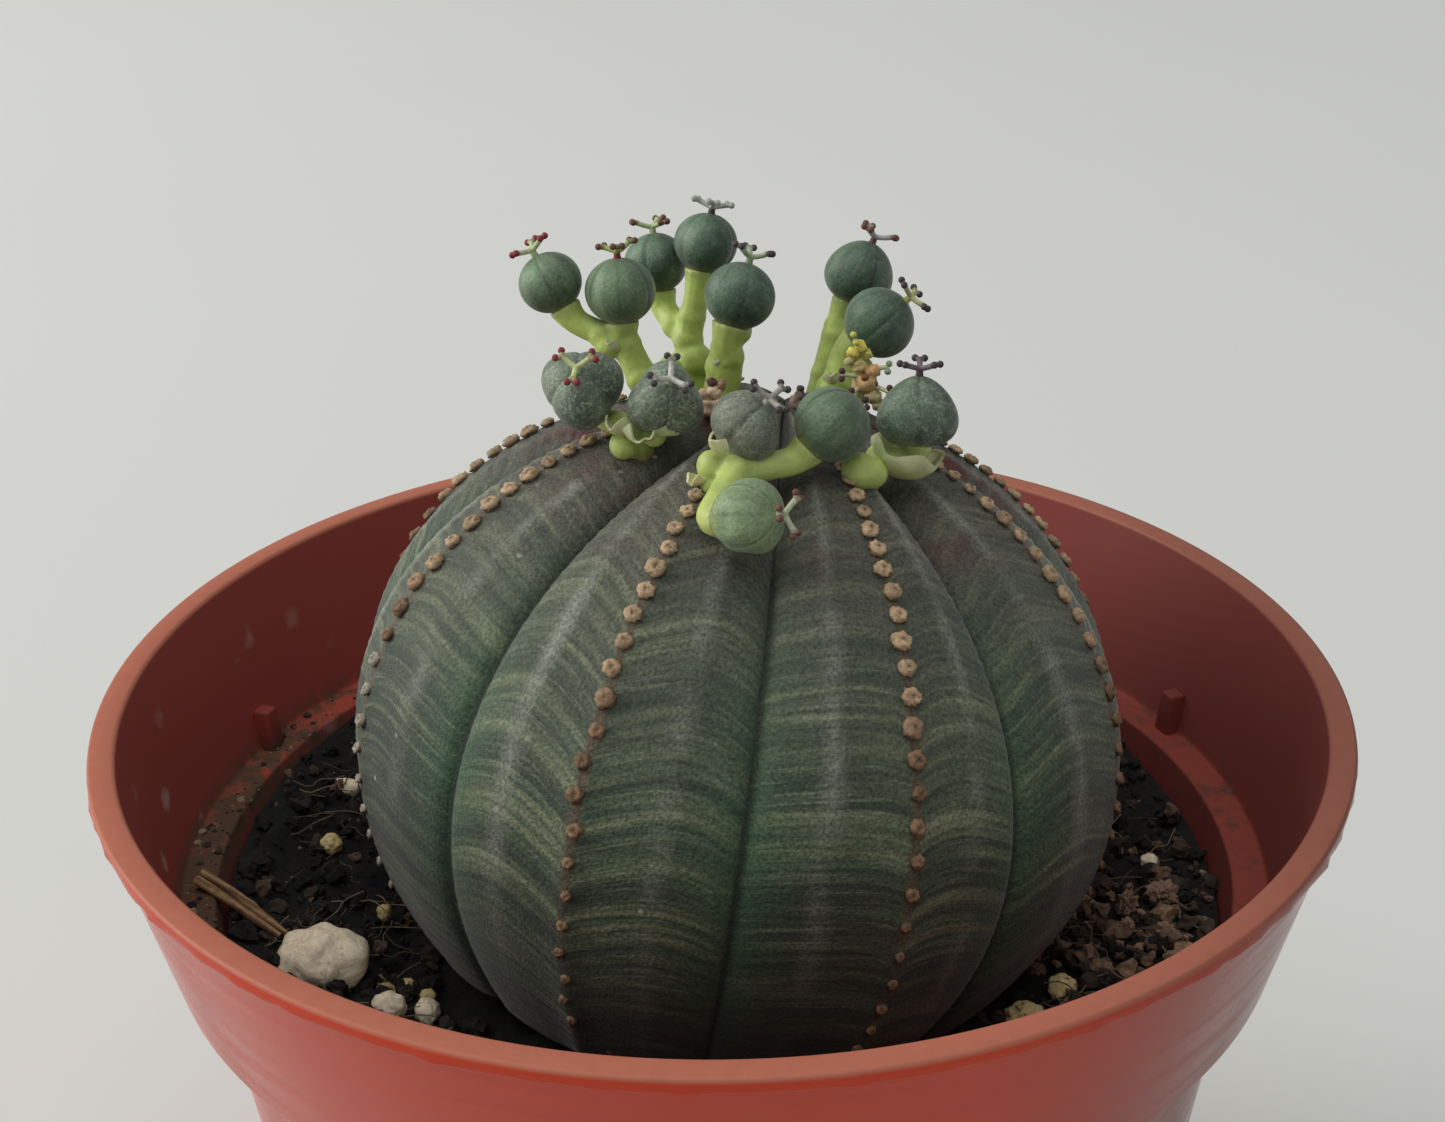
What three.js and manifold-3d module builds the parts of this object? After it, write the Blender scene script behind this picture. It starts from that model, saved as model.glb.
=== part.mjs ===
// A baseball plant in fruit, standing in a round plastic nursery pot.
// Millimetres, +Z up. The origin is on the ground under the middle of the pot, and -Y is the front.
import * as THREE from 'three';
import { mergeVertices } from 'three/addons/utils/BufferGeometryUtils.js';
import Module from 'manifold-3d';

const wasm = await Module();
wasm.setup();

// ---- Driving dimensions ----

// The gap left between two pieces that touch.
const clearance = 0.3;

// Pot: a tapered cup, a ledge, a wider collar above the ledge, and a flat lip round the mouth.
const potHeight = 100;
const rimRadius = 60;
const lipWidth = 2.45;
const lipThickness = 1.6;
const lipOverhang = 0.8;
const lipRounding = 0.35;
const collarHeight = 19.8;
const collarTaper = 4.2;
const collarWall = 1.1;
const ledgeWidth = 3.3;
const potWall = 1.2;
const potTaper = 10.4;
const floorThickness = 1.5;
const footRise = 3;
const footWidth = 3.5;
const footRounding = 0.8;
const drainHoleRadius = 2;
const drainRings = [{ radius: 12, count: 4 }, { radius: 28, count: 8 }];
const lugAzimuths = [22, 159, 202, 339];
const lugHeight = 4.6;
const lugWidth = 2.4;
const lugDepth = 1.5;
const lugDraft = 0.2;
const potSides = 60;

// Soil: its depth below the rim at the front, its rise towards the back and its dip round the plant.
const soilDepth = 24;
const soilBackRise = 3;
const soilDip = 4;
const soilDipWidth = 10;
const soilRoughness = 0.35;
const soilSides = 48;

// Plant: a ribbed ball on a short root. The middle of the ball is plantSeat above the soil.
const bodyRadius = 36.8;
const plantOffset = new THREE.Vector2(1.1, 0.4);
const plantSeat = 15;
const plantLean = 10;
const plantLeanAzimuth = 35;
const rootLength = 26;
const rootTipRadius = 1.5;
// Shares of the ball's radius: fuller above than below, with high shoulders and a flat crown.
const topHeavy = 0.016;
const shoulders = 0.036;
const squareness = 0.017;
// Ridges and grooves, in degrees round the ball from the front towards +X.
const ridgeAzimuths = [-105, -69, -23.5, 21, 68, 102, 153, 204];
const grooveAzimuths = [-88, -45, -1.5, 40, 85, 128, 179, 230];
// Groove depth as shares of the radius: at the equator, and what is added at the crown, where it
// deepens with this power of the height.
const creaseDepth = 0.014;
const crownDepth = 0.08;
const crownOnset = 2.5;
// The share of a groove's depth that lies in its narrow crease, and how narrow the crease is.
const creaseShare = 0.6;
const creaseNarrowness = 8;
const keelHeight = 0.5;
// Where each half rib is sampled, from its ridge at 0 towards its groove at 1.
const flankShares = [0, 0.09, 0.45, 0.82];
// The elevations between which the ball is lofted, from its neck to its crown.
const neckBottom = -60;
const crownTop = 86;

// Fruits: three-lobed capsules with a forked style on top, on short branching stalks.
const capsuleDiameter = 6.4;
const capsuleFlattening = 0.94;
const lobeDepth = 0.07;
const stalkRadius = 1.15;
const trunkRadius = 1.4;
const jointRadius = 1.3;
const cupRadius = 1.7;
// How far down a capsule its cup reaches, as a share of the capsule's radius.
const cupSeat = 0.8;
const neckLength = 1.6;
const styleColumn = 0.5;
const styleArm = 1.7;
const styleFork = 0.6;
const styleRadius = 0.28;
// How far a style's arms rise for each millimetre outwards.
const styleRise = 0.2;

// Withered parts: a flower with spent arms, and the stumps of older flowers.
const flowerStem = 0.6;
const flowerCup = 1.15;
const flowerArms = 5;
const flowerArmReach = 1.6;
const flowerArmRise = 1.2;
const flowerArmRadius = 0.32;
const flowerKnob = 0.35;
const stumpTaper = 0.55;

// Stones: how far their faces are knocked out of round, and the share of the height that is sunk.
const stoneUnevenness = 0.06;
const stoneSunk = 1 / 3;

// ---- Helpers ----

const { degToRad } = THREE.MathUtils;
const up = new THREE.Vector3(0, 0, 1);
const axisFoot = new THREE.Vector2();

// A point at an azimuth measured from +X towards +Y.
function polar(radius, degrees, height) {
  const angle = degToRad(degrees);
  return new THREE.Vector3(radius * Math.cos(angle), radius * Math.sin(angle), height);
}

// A closed skin over rings of points that run counter-clockwise about the direction of travel.
function loft(rings) {
  const sides = rings[0].length;
  const last = rings.length - 1;
  const points = rings.flat();
  const index = [];
  for (let ring = 0; ring < last; ring += 1) {
    for (let side = 0; side < sides; side += 1) {
      const a = ring * sides + side;
      const b = ring * sides + (side + 1) % sides;
      index.push(a, b, b + sides, a, b + sides, a + sides);
    }
  }
  for (const [ring, forward] of [[0, false], [last, true]]) {
    const centre = new THREE.Vector3();
    rings[ring].forEach((point) => centre.addScaledVector(point, 1 / sides));
    const hub = points.push(centre) - 1;
    for (let side = 0; side < sides; side += 1) {
      const a = ring * sides + side;
      const b = ring * sides + (side + 1) % sides;
      index.push(...(forward ? [hub, a, b] : [hub, b, a]));
    }
  }
  const geometry = new THREE.BufferGeometry().setFromPoints(points);
  geometry.setIndex(index);
  geometry.computeVertexNormals();
  return geometry;
}

// A circle of points round the Z axis.
function circle(radius, height, sides) {
  return Array.from({ length: sides }, (_, side) => polar(radius, 360 * side / sides, height));
}

// A round limb through a few points, tapering from one radius to another.
function limb(points, startRadius, endRadius, sides = 8, steps = 1) {
  const curve = points.length > 2
    ? new THREE.CatmullRomCurve3(points)
    : new THREE.LineCurve3(...points);
  const frames = curve.computeFrenetFrames(steps, false);
  const rings = Array.from({ length: steps + 1 }, (_, step) => {
    const share = step / steps;
    const centre = curve.getPointAt(share);
    const radius = THREE.MathUtils.lerp(startRadius, endRadius, share);
    return circle(radius, 0, sides).map(({ x, y }) => centre.clone()
      .addScaledVector(frames.normals[step], x)
      .addScaledVector(frames.binormals[step], y));
  });
  return loft(rings);
}

function ball(centre, radius, detail) {
  return new THREE.IcosahedronGeometry(radius, detail).translate(...centre.toArray());
}

// A manifold solid of a closed geometry.
function solid(geometry) {
  const bare = geometry.clone();
  bare.deleteAttribute('normal');
  bare.deleteAttribute('uv');
  const welded = mergeVertices(bare, 1e-4);
  const corners = welded.index.array;
  const kept = [];
  for (let i = 0; i < corners.length; i += 3) {
    const [a, b, c] = corners.slice(i, i + 3);
    if (a !== b && b !== c && c !== a) {
      kept.push(a, b, c);
    }
  }
  return new wasm.Manifold(new wasm.Mesh({
    numProp: 3,
    vertProperties: Float32Array.from(welded.attributes.position.array),
    triVerts: Uint32Array.from(kept),
  }));
}

// The first geometry joined with the others in added, less those in removed.
function shaped(base, added, removed) {
  let result = solid(base);
  added.forEach((geometry) => {
    result = result.add(solid(geometry));
  });
  removed.forEach((geometry) => {
    result = result.subtract(solid(geometry));
  });
  const mesh = result.getMesh();
  const geometry = new THREE.BufferGeometry();
  geometry.setAttribute('position', new THREE.BufferAttribute(mesh.vertProperties, 3));
  geometry.setIndex(new THREE.BufferAttribute(mesh.triVerts, 1));
  geometry.computeVertexNormals();
  return geometry;
}

function material(color, roughness) {
  return new THREE.MeshStandardMaterial({ color, roughness, metalness: 0 });
}

function addMesh(parent, name, geometry, look) {
  const mesh = new THREE.Mesh(geometry, look);
  mesh.name = name;
  parent.add(mesh);
  return mesh;
}

// The rotation that turns a piece about +Z and then points its +Z along an axis.
function pointing(axis, turn) {
  const spin = new THREE.Quaternion().setFromAxisAngle(up, degToRad(turn));
  return new THREE.Quaternion().setFromUnitVectors(up, axis.clone().normalize()).multiply(spin);
}

// A copy of a geometry, turned and moved to a place.
function placed(geometry, place, rotation) {
  return geometry.clone().applyQuaternion(rotation).translate(...place.toArray());
}

// ---- Pot ----

const ledgeHeight = potHeight - collarHeight + potWall;
const collarInner = rimRadius - lipOverhang - collarTaper - collarWall;
const ledgeInner = collarInner - ledgeWidth;
const floorTop = footRise + floorThickness;

// The cup's inside radius at a height below the ledge.
function cupRadiusAt(height) {
  return ledgeInner - potTaper * (ledgeHeight - height) / ledgeHeight;
}

function potGeometry() {
  const cupTop = ledgeInner + potWall;
  const footOuter = cupRadiusAt(0) + potWall;
  const footInner = footOuter - footWidth;
  const collarBottom = collarInner + collarWall;
  const collarTop = rimRadius - lipOverhang;
  const mouth = rimRadius - lipWidth;
  const profile = [
    [0, footRise],
    [footInner, footRise],
    [footInner, 0],
    [footOuter - footRounding, 0],
    [footOuter, footRounding],
    [cupTop, potHeight - collarHeight],
    [collarBottom, potHeight - collarHeight],
    [collarTop, potHeight - lipThickness],
    [rimRadius, potHeight - lipThickness],
    [rimRadius, potHeight - lipRounding],
    [rimRadius - lipRounding, potHeight],
    [mouth + lipRounding, potHeight],
    [mouth, potHeight - lipRounding],
    [collarInner, ledgeHeight],
    [ledgeInner, ledgeHeight],
    [cupRadiusAt(floorTop), floorTop],
    [0, floorTop],
  ];
  const cup = new THREE.LatheGeometry(profile.map((point) => new THREE.Vector2(...point)), potSides);
  const drill = new THREE.CylinderGeometry(drainHoleRadius, drainHoleRadius, 4 * floorThickness, 12);
  drill.rotateX(Math.PI / 2);
  const holes = drainRings.flatMap(({ radius, count }) => (
    Array.from({ length: count }, (_, hole) => (
      drill.clone().translate(...polar(radius, 360 * hole / count, footRise).toArray())))));
  return shaped(cup.rotateX(Math.PI / 2), lugAzimuths.map(lugGeometry), holes);
}

// A stacking lug: a small tapered block that stands on the ledge against the collar.
function lugGeometry(azimuth) {
  const sunk = collarWall / 2;
  const corners = (outer, inner, halfWidth, height) => [
    new THREE.Vector3(outer, -halfWidth, height),
    new THREE.Vector3(outer, halfWidth, height),
    new THREE.Vector3(inner, halfWidth, height),
    new THREE.Vector3(inner, -halfWidth, height),
  ];
  const outer = collarInner + sunk;
  const inner = collarInner - lugDepth;
  const block = loft([
    corners(outer, inner, lugWidth / 2, ledgeHeight - potWall / 2),
    corners(outer, inner + 2 * lugDraft, lugWidth / 2 - lugDraft, ledgeHeight + lugHeight),
  ]);
  return block.rotateZ(degToRad(azimuth));
}

// ---- Plant body ----

// The ball's radius from its middle, at an elevation in radians.
function ballRadiusAt(elevation) {
  const fullness = topHeavy * Math.sin(elevation)
    + shoulders * Math.sin(3 * elevation)
    + squareness * Math.cos(4 * elevation);
  return bodyRadius * (1 + fullness);
}

// One ring round the plant: high at the ridges, creased at the grooves and rounded between.
function ribbedRing(radius, height, groove, keel) {
  const ring = [];
  const sample = (from, to, share) => {
    const azimuth = degToRad(from + (to - from) * share);
    const relief = (1 - creaseShare) * share ** 2 + creaseShare * share ** creaseNarrowness;
    const reach = radius * (1 - groove * relief) + (share === 0 ? keel : 0);
    ring.push(new THREE.Vector3(reach * Math.sin(azimuth), -reach * Math.cos(azimuth), height));
  };
  ridgeAzimuths.forEach((ridge, rib) => {
    const groove = grooveAzimuths[rib];
    const nextRidge = rib + 1 < ridgeAzimuths.length ? ridgeAzimuths[rib + 1] : ridgeAzimuths[0] + 360;
    flankShares.forEach((share) => sample(ridge, groove, share));
    sample(ridge, groove, 1);
    flankShares.slice(1).reverse().forEach((share) => sample(nextRidge, groove, share));
  });
  return ring;
}

// The ball with its root, swollen by a margin for the hollows that its neighbours keep.
function bodyGeometry(margin) {
  const ballSteps = 16;
  const rootSteps = 3;
  const neck = ballRadiusAt(degToRad(neckBottom));
  const neckRadius = neck * Math.cos(degToRad(neckBottom));
  const neckHeight = neck * Math.sin(degToRad(neckBottom));
  const rings = [];
  for (let step = 0; step < rootSteps; step += 1) {
    const share = 1 - (1 - step / rootSteps) ** 2;
    const radius = THREE.MathUtils.lerp(rootTipRadius, neckRadius, step / rootSteps);
    const height = neckHeight - rootLength * (1 - share);
    rings.push(ribbedRing(radius + margin, height - (step === 0 ? margin : 0), 0, 0));
  }
  for (let step = 0; step <= ballSteps; step += 1) {
    const elevation = degToRad(THREE.MathUtils.lerp(neckBottom, crownTop, step / ballSteps));
    const reach = ballRadiusAt(elevation) + margin;
    const groove = creaseDepth + crownDepth * Math.max(0, Math.sin(elevation)) ** crownOnset;
    const keel = keelHeight * Math.cos(elevation);
    rings.push(ribbedRing(reach * Math.cos(elevation), reach * Math.sin(elevation), groove, keel));
  }
  return loft(rings);
}

// ---- Places on the plant ----

const plant = new THREE.Group();
plant.position.set(plantOffset.x, plantOffset.y, potHeight - soilDepth + plantSeat);
plant.quaternion.setFromUnitVectors(up, polar(
  Math.sin(degToRad(plantLean)),
  plantLeanAzimuth,
  Math.cos(degToRad(plantLean)),
));
plant.updateMatrix();

// A place over the crown, in capsule widths: across, back, and out from the ball's surface.
function perch([across, back, out]) {
  const x = across * capsuleDiameter;
  const y = back * capsuleDiameter;
  const direction = new THREE.Vector3(x, y, Math.sqrt(bodyRadius ** 2 - x ** 2 - y ** 2)).normalize();
  const reach = ballRadiusAt(Math.asin(direction.z)) + out * capsuleDiameter;
  return direction.multiplyScalar(reach);
}

// ---- Fruits and stalks ----

// Each fruit: its place over the crown, its size in capsule widths, the way its top points, and
// its turn about that axis.
const fruits = {
  '01': { at: [-2.68, 0.7, 2.02], size: 0.95, axis: [-0.6, 0.1, 0.8], turn: 90 },
  '02': { at: [-2.02, 0.55, 1.62], size: 1.05, axis: [-0.2, 0.05, 1], turn: 30 },
  '03': { at: [-1.58, 1.6, 1.93], size: 0.98, axis: [-0.25, 0.1, 1], turn: 70 },
  '04': { at: [-1.02, 1.16, 2.12], size: 0.96, axis: [0.05, 0.1, 1], turn: 35 },
  '05': { at: [-0.68, 0.3, 1.44], size: 1.04, axis: [0.15, 0.1, 1], turn: 95 },
  '06': { at: [0.71, 0.98, 1.92], size: 1.04, axis: [0.3, 0.1, 1], turn: 110 },
  '07': { at: [0.98, 0.1, 1.4], size: 1.05, axis: [0.65, -0.1, 0.75], turn: 80 },
  '08': { at: [-2.52, -1.14, 0.92], size: 1.13, axis: [-0.18, -0.75, 0.65], turn: 270 },
  '09': { at: [-1.58, -1.46, 0.68], size: 1.08, axis: [0.04, -0.7, 0.7], turn: 95 },
  '10': { at: [-0.56, -2.1, 0.66], size: 1, axis: [0.36, -0.46, 0.82], turn: 60 },
  '11': { at: [0.45, -2.03, 0.74], size: 1.04, axis: [0.6, 0.1, 0.8], turn: 20 },
  '12': { at: [1.48, -1.43, 0.93], size: 1.13, axis: [-0.1, 0.1, 1], turn: 85 },
  '13': { at: [-0.5, -3.45, 0.6], size: 0.98, axis: [0.75, -0.55, 0.35], turn: 100 },
};

// The capsule whose style has withered away.
const bareFruit = '11';

// Each stalk: where it leaves the crown, where it forks, and the fruits that it carries.
const stalks = {
  stalk_back_left: { base: [-1.9, 0.55, -0.2], fork: [-2.1, 0.6, 0.82], carries: ['01', '02'] },
  stalk_back_middle: { base: [-1.3, 1.35, -0.2], fork: [-1.32, 1.36, 0.68], carries: ['03', '04'] },
  stalk_back_centre: { base: [-0.95, 0.45, -0.2], fork: [-0.84, 0.36, 0.5], carries: ['05'] },
  stalk_back_right: { base: [0.6, 1, -0.2], fork: [0.6, 0.98, 0.9], carries: ['06'] },
  stalk_right: { base: [0.68, 0.12, -0.2], fork: [0.7, 0.1, 0.4], carries: ['07'] },
  stalk_front_left: { base: [-2.08, -1.4, -0.3], fork: [-2.05, -1.36, 0.16], carries: ['08', '09'] },
  stalk_front: { base: [-0.85, -2.5, -0.3], fork: [-0.68, -2.52, 0.22], carries: ['10', '11', '13'] },
  stalk_front_right: { base: [1.15, -1.85, -0.3], fork: [1.27, -1.65, 0.15], carries: ['12'] },
};

// A capsule about its own middle, pinched at three seams and at both ends.
function capsuleGeometry(radius) {
  const sides = 12;
  const steps = 6;
  const rings = [];
  for (let step = 1; step < steps; step += 1) {
    const elevation = Math.PI * (step / steps - 0.5);
    const ring = Array.from({ length: sides }, (_, side) => {
      const azimuth = 2 * Math.PI * side / sides;
      const seam = Math.abs(Math.cos(1.5 * azimuth)) ** 4;
      const reach = radius * Math.cos(elevation) * (1 - lobeDepth * seam);
      const height = radius * Math.sin(elevation) * capsuleFlattening;
      return new THREE.Vector3(reach * Math.cos(azimuth), reach * Math.sin(azimuth), height);
    });
    rings.push(ring);
  }
  return loft(rings);
}

// A style over a capsule of the given radius: a short column and three arms with forked ends. The
// arms are one star, extruded flat and then raised towards its tips.
function styleGeometry(radius) {
  const foot = radius * capsuleFlattening + clearance;
  const forkAlong = styleArm + styleFork * 0.75;
  const forkAside = styleFork * 0.65;
  const outline = [0, 120, 240].flatMap((azimuth) => {
    const arm = [
      [styleRadius, -styleRadius],
      [styleArm, -styleRadius],
      [forkAlong, -forkAside - styleRadius],
      [forkAlong + styleRadius, -forkAside + styleRadius],
      [styleArm + styleRadius, 0],
      [forkAlong + styleRadius, forkAside - styleRadius],
      [forkAlong, forkAside + styleRadius],
      [styleArm, styleRadius],
    ];
    return arm.map((corner) => new THREE.Vector2(...corner).rotateAround(axisFoot, degToRad(azimuth)));
  });
  const star = new THREE.ExtrudeGeometry(new THREE.Shape(outline), {
    depth: 2 * styleRadius,
    bevelEnabled: false,
  });
  star.translate(0, 0, foot + styleColumn);
  const corners = star.attributes.position;
  for (let i = 0; i < corners.count; i += 1) {
    const reach = Math.hypot(corners.getX(i), corners.getY(i));
    corners.setZ(i, corners.getZ(i) + styleRise * reach);
  }
  const top = new THREE.Vector3(0, 0, foot + styleColumn + 1.5 * styleRadius);
  const column = limb([new THREE.Vector3(0, 0, foot), top], 1.3 * styleRadius, styleRadius, 5);
  return shaped(column, [star], []);
}

// A stalk: a trunk out of the crown, and to each fruit a bent branch that widens to a cup. Straight
// limbs and round joints are joined, because a tube bent this sharply would fold into itself.
function stalkGeometry({ base, fork, carries }) {
  const crotch = perch(fork);
  const trunk = limb([perch(base), crotch], trunkRadius, stalkRadius, 7);
  const joint = ball(crotch, jointRadius, 1);
  const branches = carries.flatMap((key) => {
    const { at, size, axis: lean } = fruits[key];
    const axis = new THREE.Vector3(...lean).normalize();
    const radius = size * capsuleDiameter / 2;
    const foot = perch(at).addScaledVector(axis, cupSeat * -radius);
    const neck = foot.clone().addScaledVector(axis, -neckLength);
    return [
      limb([crotch, neck], stalkRadius, stalkRadius, 7),
      ball(neck, jointRadius, 1),
      limb([neck, foot], stalkRadius, cupRadius, 7),
    ];
  });
  const pockets = carries.map((key) => {
    const { at, size, axis, turn } = fruits[key];
    const radius = size * capsuleDiameter / 2 + clearance;
    return placed(capsuleGeometry(radius), perch(at), pointing(new THREE.Vector3(...axis), turn));
  });
  return shaped(trunk, [joint, ...branches], [bodyGeometry(clearance), ...pockets]);
}

// The dried flower: a withered stem, a cup and its spent arms with dark ends.
function driedFlowerGeometry(base, head) {
  const foot = perch(base);
  const cup = perch(head);
  const facing = pointing(cup.clone().sub(foot), 0);
  const stem = limb([foot, cup], flowerStem, 1.3 * flowerStem, 6);
  const arms = Array.from({ length: flowerArms }, (_, arm) => {
    const tip = polar(flowerArmReach, 360 * arm / flowerArms + 20, flowerArmRise);
    tip.applyQuaternion(facing).add(cup);
    return [ball(tip, flowerKnob, 0), limb([cup, tip], flowerArmRadius, 0.7 * flowerArmRadius, 4)];
  });
  return shaped(stem, [ball(cup, flowerCup, 0), ...arms.flat()], [bodyGeometry(clearance)]);
}

// A withered stump where an older flower fell off.
function stumpGeometry(place, length, radius) {
  const foot = perch([...place, -0.2]);
  const tip = perch([...place, length]);
  return shaped(limb([foot, tip], radius, radius * stumpTaper, 7), [], [bodyGeometry(clearance)]);
}

// ---- Soil and stones ----

const soilLevel = potHeight - soilDepth;
const neckElevation = -Math.asin(plantSeat / bodyRadius);
const plantNeck = ballRadiusAt(neckElevation) * Math.cos(neckElevation);
const bedOuter = cupRadiusAt(soilLevel) - clearance;
const bedWidth = bedOuter - plantNeck;

function soilHeightAt(x, y) {
  const distance = Math.hypot(x, y);
  const dip = 1 - THREE.MathUtils.smoothstep(distance, plantNeck, plantNeck + soilDipWidth);
  const rough = soilRoughness * Math.sin(x / 3.1) * Math.cos(y / 3.7);
  return soilLevel + soilBackRise * Math.max(0, y) / bedOuter - soilDip * dip + rough;
}

// Stones, by azimuth from +X, share of the way from the plant to the wall, and size as shares of
// the bed's width: length, width and height.
const stones = {
  pumice_large: { azimuth: 200, across: 0.52, size: [0.54, 0.38, 0.37], turn: 15, look: 'pumice' },
  pebble_01: { azimuth: 209, across: 0.26, size: [0.19, 0.15, 0.15], turn: 10, look: 'pumice' },
  pebble_02: { azimuth: 210, across: 0.06, size: [0.17, 0.14, 0.15], turn: 70, look: 'pumice' },
  pebble_03: { azimuth: 203.7, across: 0.23, size: [0.12, 0.1, 0.09], turn: 0, look: 'sand' },
  pebble_04: { azimuth: 201, across: 0.08, size: [0.1, 0.08, 0.08], turn: 40, look: 'sand' },
  pebble_05: { azimuth: 205.3, across: 0, size: [0.1, 0.08, 0.08], turn: 0, look: 'sand' },
  pebble_06: { azimuth: 182.6, across: 0.17, size: [0.1, 0.09, 0.11], turn: 60, look: 'sand' },
  grit_01: { azimuth: 158.6, across: 0.74, size: [0.26, 0.13, 0.12], turn: 5, look: 'pumice' },
  grit_02: { azimuth: 171.3, across: 0.56, size: [0.15, 0.13, 0.12], turn: 75, look: 'sand' },
  grit_03: { azimuth: 171, across: 0.88, size: [0.17, 0.14, 0.15], turn: 20, look: 'gravel' },
  chunk_01: { azimuth: 326, across: 0.12, size: [0.23, 0.18, 0.17], turn: 15, look: 'sand' },
  chunk_02: { azimuth: 333.5, across: 0.24, size: [0.21, 0.17, 0.14], turn: 100, look: 'sand' },
  gravel_01: { azimuth: 354.3, across: 0.72, size: [0.21, 0.18, 0.17], turn: 30, look: 'gravel' },
  gravel_02: { azimuth: 352, across: 0.5, size: [0.13, 0.12, 0.16], turn: 80, look: 'gravel' },
  gravel_03: { azimuth: 336.4, across: 0.42, size: [0.16, 0.14, 0.12], turn: 120, look: 'gravel' },
  gravel_04: { azimuth: 345.8, across: 0.72, size: [0.19, 0.17, 0.15], turn: 0, look: 'gravel' },
  gravel_05: { azimuth: 346.5, across: 0.5, size: [0.13, 0.11, 0.11], turn: 60, look: 'gravel' },
  gravel_06: { azimuth: 339.5, across: 0.03, size: [0.13, 0.11, 0.1], turn: 150, look: 'gravel' },
  gravel_07: { azimuth: 1, across: 0.68, size: [0.11, 0.1, 0.13], turn: 45, look: 'pumice' },
};

// The twig leans on the edge of the ledge at one end and lies on the soil at the other.
const twig = { fromAzimuth: 188.5, toAzimuth: 192.5, toAcross: 0.8, radius: 0.9 };

function stoneGeometry(size, seed, margin) {
  const lump = new THREE.IcosahedronGeometry(0.5, 1);
  const corners = lump.attributes.position;
  const corner = new THREE.Vector3();
  for (let i = 0; i < corners.count; i += 1) {
    corner.fromBufferAttribute(corners, i);
    const wave = Math.sin(9 * corner.x + seed) + Math.sin(8 * corner.y + 2 * seed) + Math.sin(7 * corner.z);
    corner.multiplyScalar(1 + stoneUnevenness * wave);
    corners.setXYZ(i, ...corner.toArray());
  }
  const [length, width, height] = size.map((share) => share * bedWidth + 2 * margin);
  return lump.scale(length, width, height);
}

function stonePlace({ azimuth, across, size }) {
  const place = polar(plantNeck + across * bedWidth, azimuth, 0);
  place.z = soilHeightAt(place.x, place.y) + (0.5 - stoneSunk) * size[2] * bedWidth;
  return place;
}

function twigGeometry(margin) {
  const radius = twig.radius + margin;
  const start = polar(ledgeInner - twig.radius - clearance, twig.fromAzimuth, ledgeHeight + twig.radius);
  const end = polar(plantNeck + twig.toAcross * bedWidth, twig.toAzimuth, 0);
  end.z = soilHeightAt(end.x, end.y) + twig.radius / 2;
  const middle = start.clone().lerp(end, 0.5);
  middle.z += twig.radius / 2;
  const reach = end.clone().sub(start).setLength(margin);
  return limb([start, middle, end.add(reach)], radius, radius * 0.7, 7, 4);
}

function soilGeometry() {
  const surface = (radius) => circle(radius, 0, soilSides).map(({ x, y }) => (
    new THREE.Vector3(x, y, soilHeightAt(x, y))));
  const wall = (level) => circle(cupRadiusAt(level) - clearance, level, soilSides);
  const surfaceSteps = 5;
  const rings = [wall(floorTop + clearance), wall(soilLevel - soilDip)];
  for (let step = 0; step <= surfaceSteps; step += 1) {
    rings.push(surface(THREE.MathUtils.lerp(bedOuter, plantNeck / 2, step / surfaceSteps)));
  }
  const hollows = Object.values(stones).map((stone, seed) => {
    const swollen = stoneGeometry(stone.size, seed, clearance);
    return placed(swollen, stonePlace(stone), pointing(up, stone.turn));
  });
  const body = bodyGeometry(clearance).applyMatrix4(plant.matrix);
  return shaped(loft(rings), [], [body, twigGeometry(clearance), ...hollows]);
}

// ---- Assembly ----

const looks = {
  pot: material(0xa3483a, 0.28),
  soil: material(0x2a221d, 0.95),
  body: material(0x5b6b5a, 0.7),
  stalk: material(0x93b04c, 0.55),
  capsule: material(0x3c5b4a, 0.6),
  style: material(0x9a9a6a, 0.6),
  dried: material(0xb08a58, 0.85),
  pumice: material(0xcbc3ad, 0.9),
  sand: material(0xb39a63, 0.9),
  gravel: material(0x7d6450, 0.95),
};

const group = new THREE.Group();
addMesh(group, 'pot', potGeometry(), looks.pot);
addMesh(group, 'soil', soilGeometry(), looks.soil);
addMesh(group, 'twig', twigGeometry(0), looks.dried);
Object.entries(stones).forEach(([name, stone], seed) => {
  const mesh = addMesh(group, name, stoneGeometry(stone.size, seed, 0), looks[stone.look]);
  mesh.position.copy(stonePlace(stone));
  mesh.rotation.z = degToRad(stone.turn);
});

group.add(plant);
addMesh(plant, 'plant_body', bodyGeometry(0), looks.body);
Object.entries(stalks).forEach(([name, stalk]) => {
  addMesh(plant, name, stalkGeometry(stalk), looks.stalk);
});
Object.entries(fruits).forEach(([key, { at, size, axis, turn }]) => {
  const radius = size * capsuleDiameter / 2;
  const fruit = new THREE.Group();
  fruit.position.copy(perch(at));
  fruit.quaternion.copy(pointing(new THREE.Vector3(...axis), turn));
  plant.add(fruit);
  addMesh(fruit, `capsule_${key}`, capsuleGeometry(radius), looks.capsule);
  if (key !== bareFruit) {
    addMesh(fruit, `style_${key}`, styleGeometry(radius), looks.style);
  }
});
addMesh(plant, 'dried_flower', driedFlowerGeometry([1.02, -0.5, -0.2], [0.9, -0.42, 0.75]), looks.dried);
addMesh(plant, 'dried_stump_left', stumpGeometry([-1.1, -0.7], 0.5, 0.95), looks.dried);
addMesh(plant, 'dried_stump_right', stumpGeometry([0.15, -0.45], 0.3, 0.6), looks.dried);

export default group;
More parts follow.
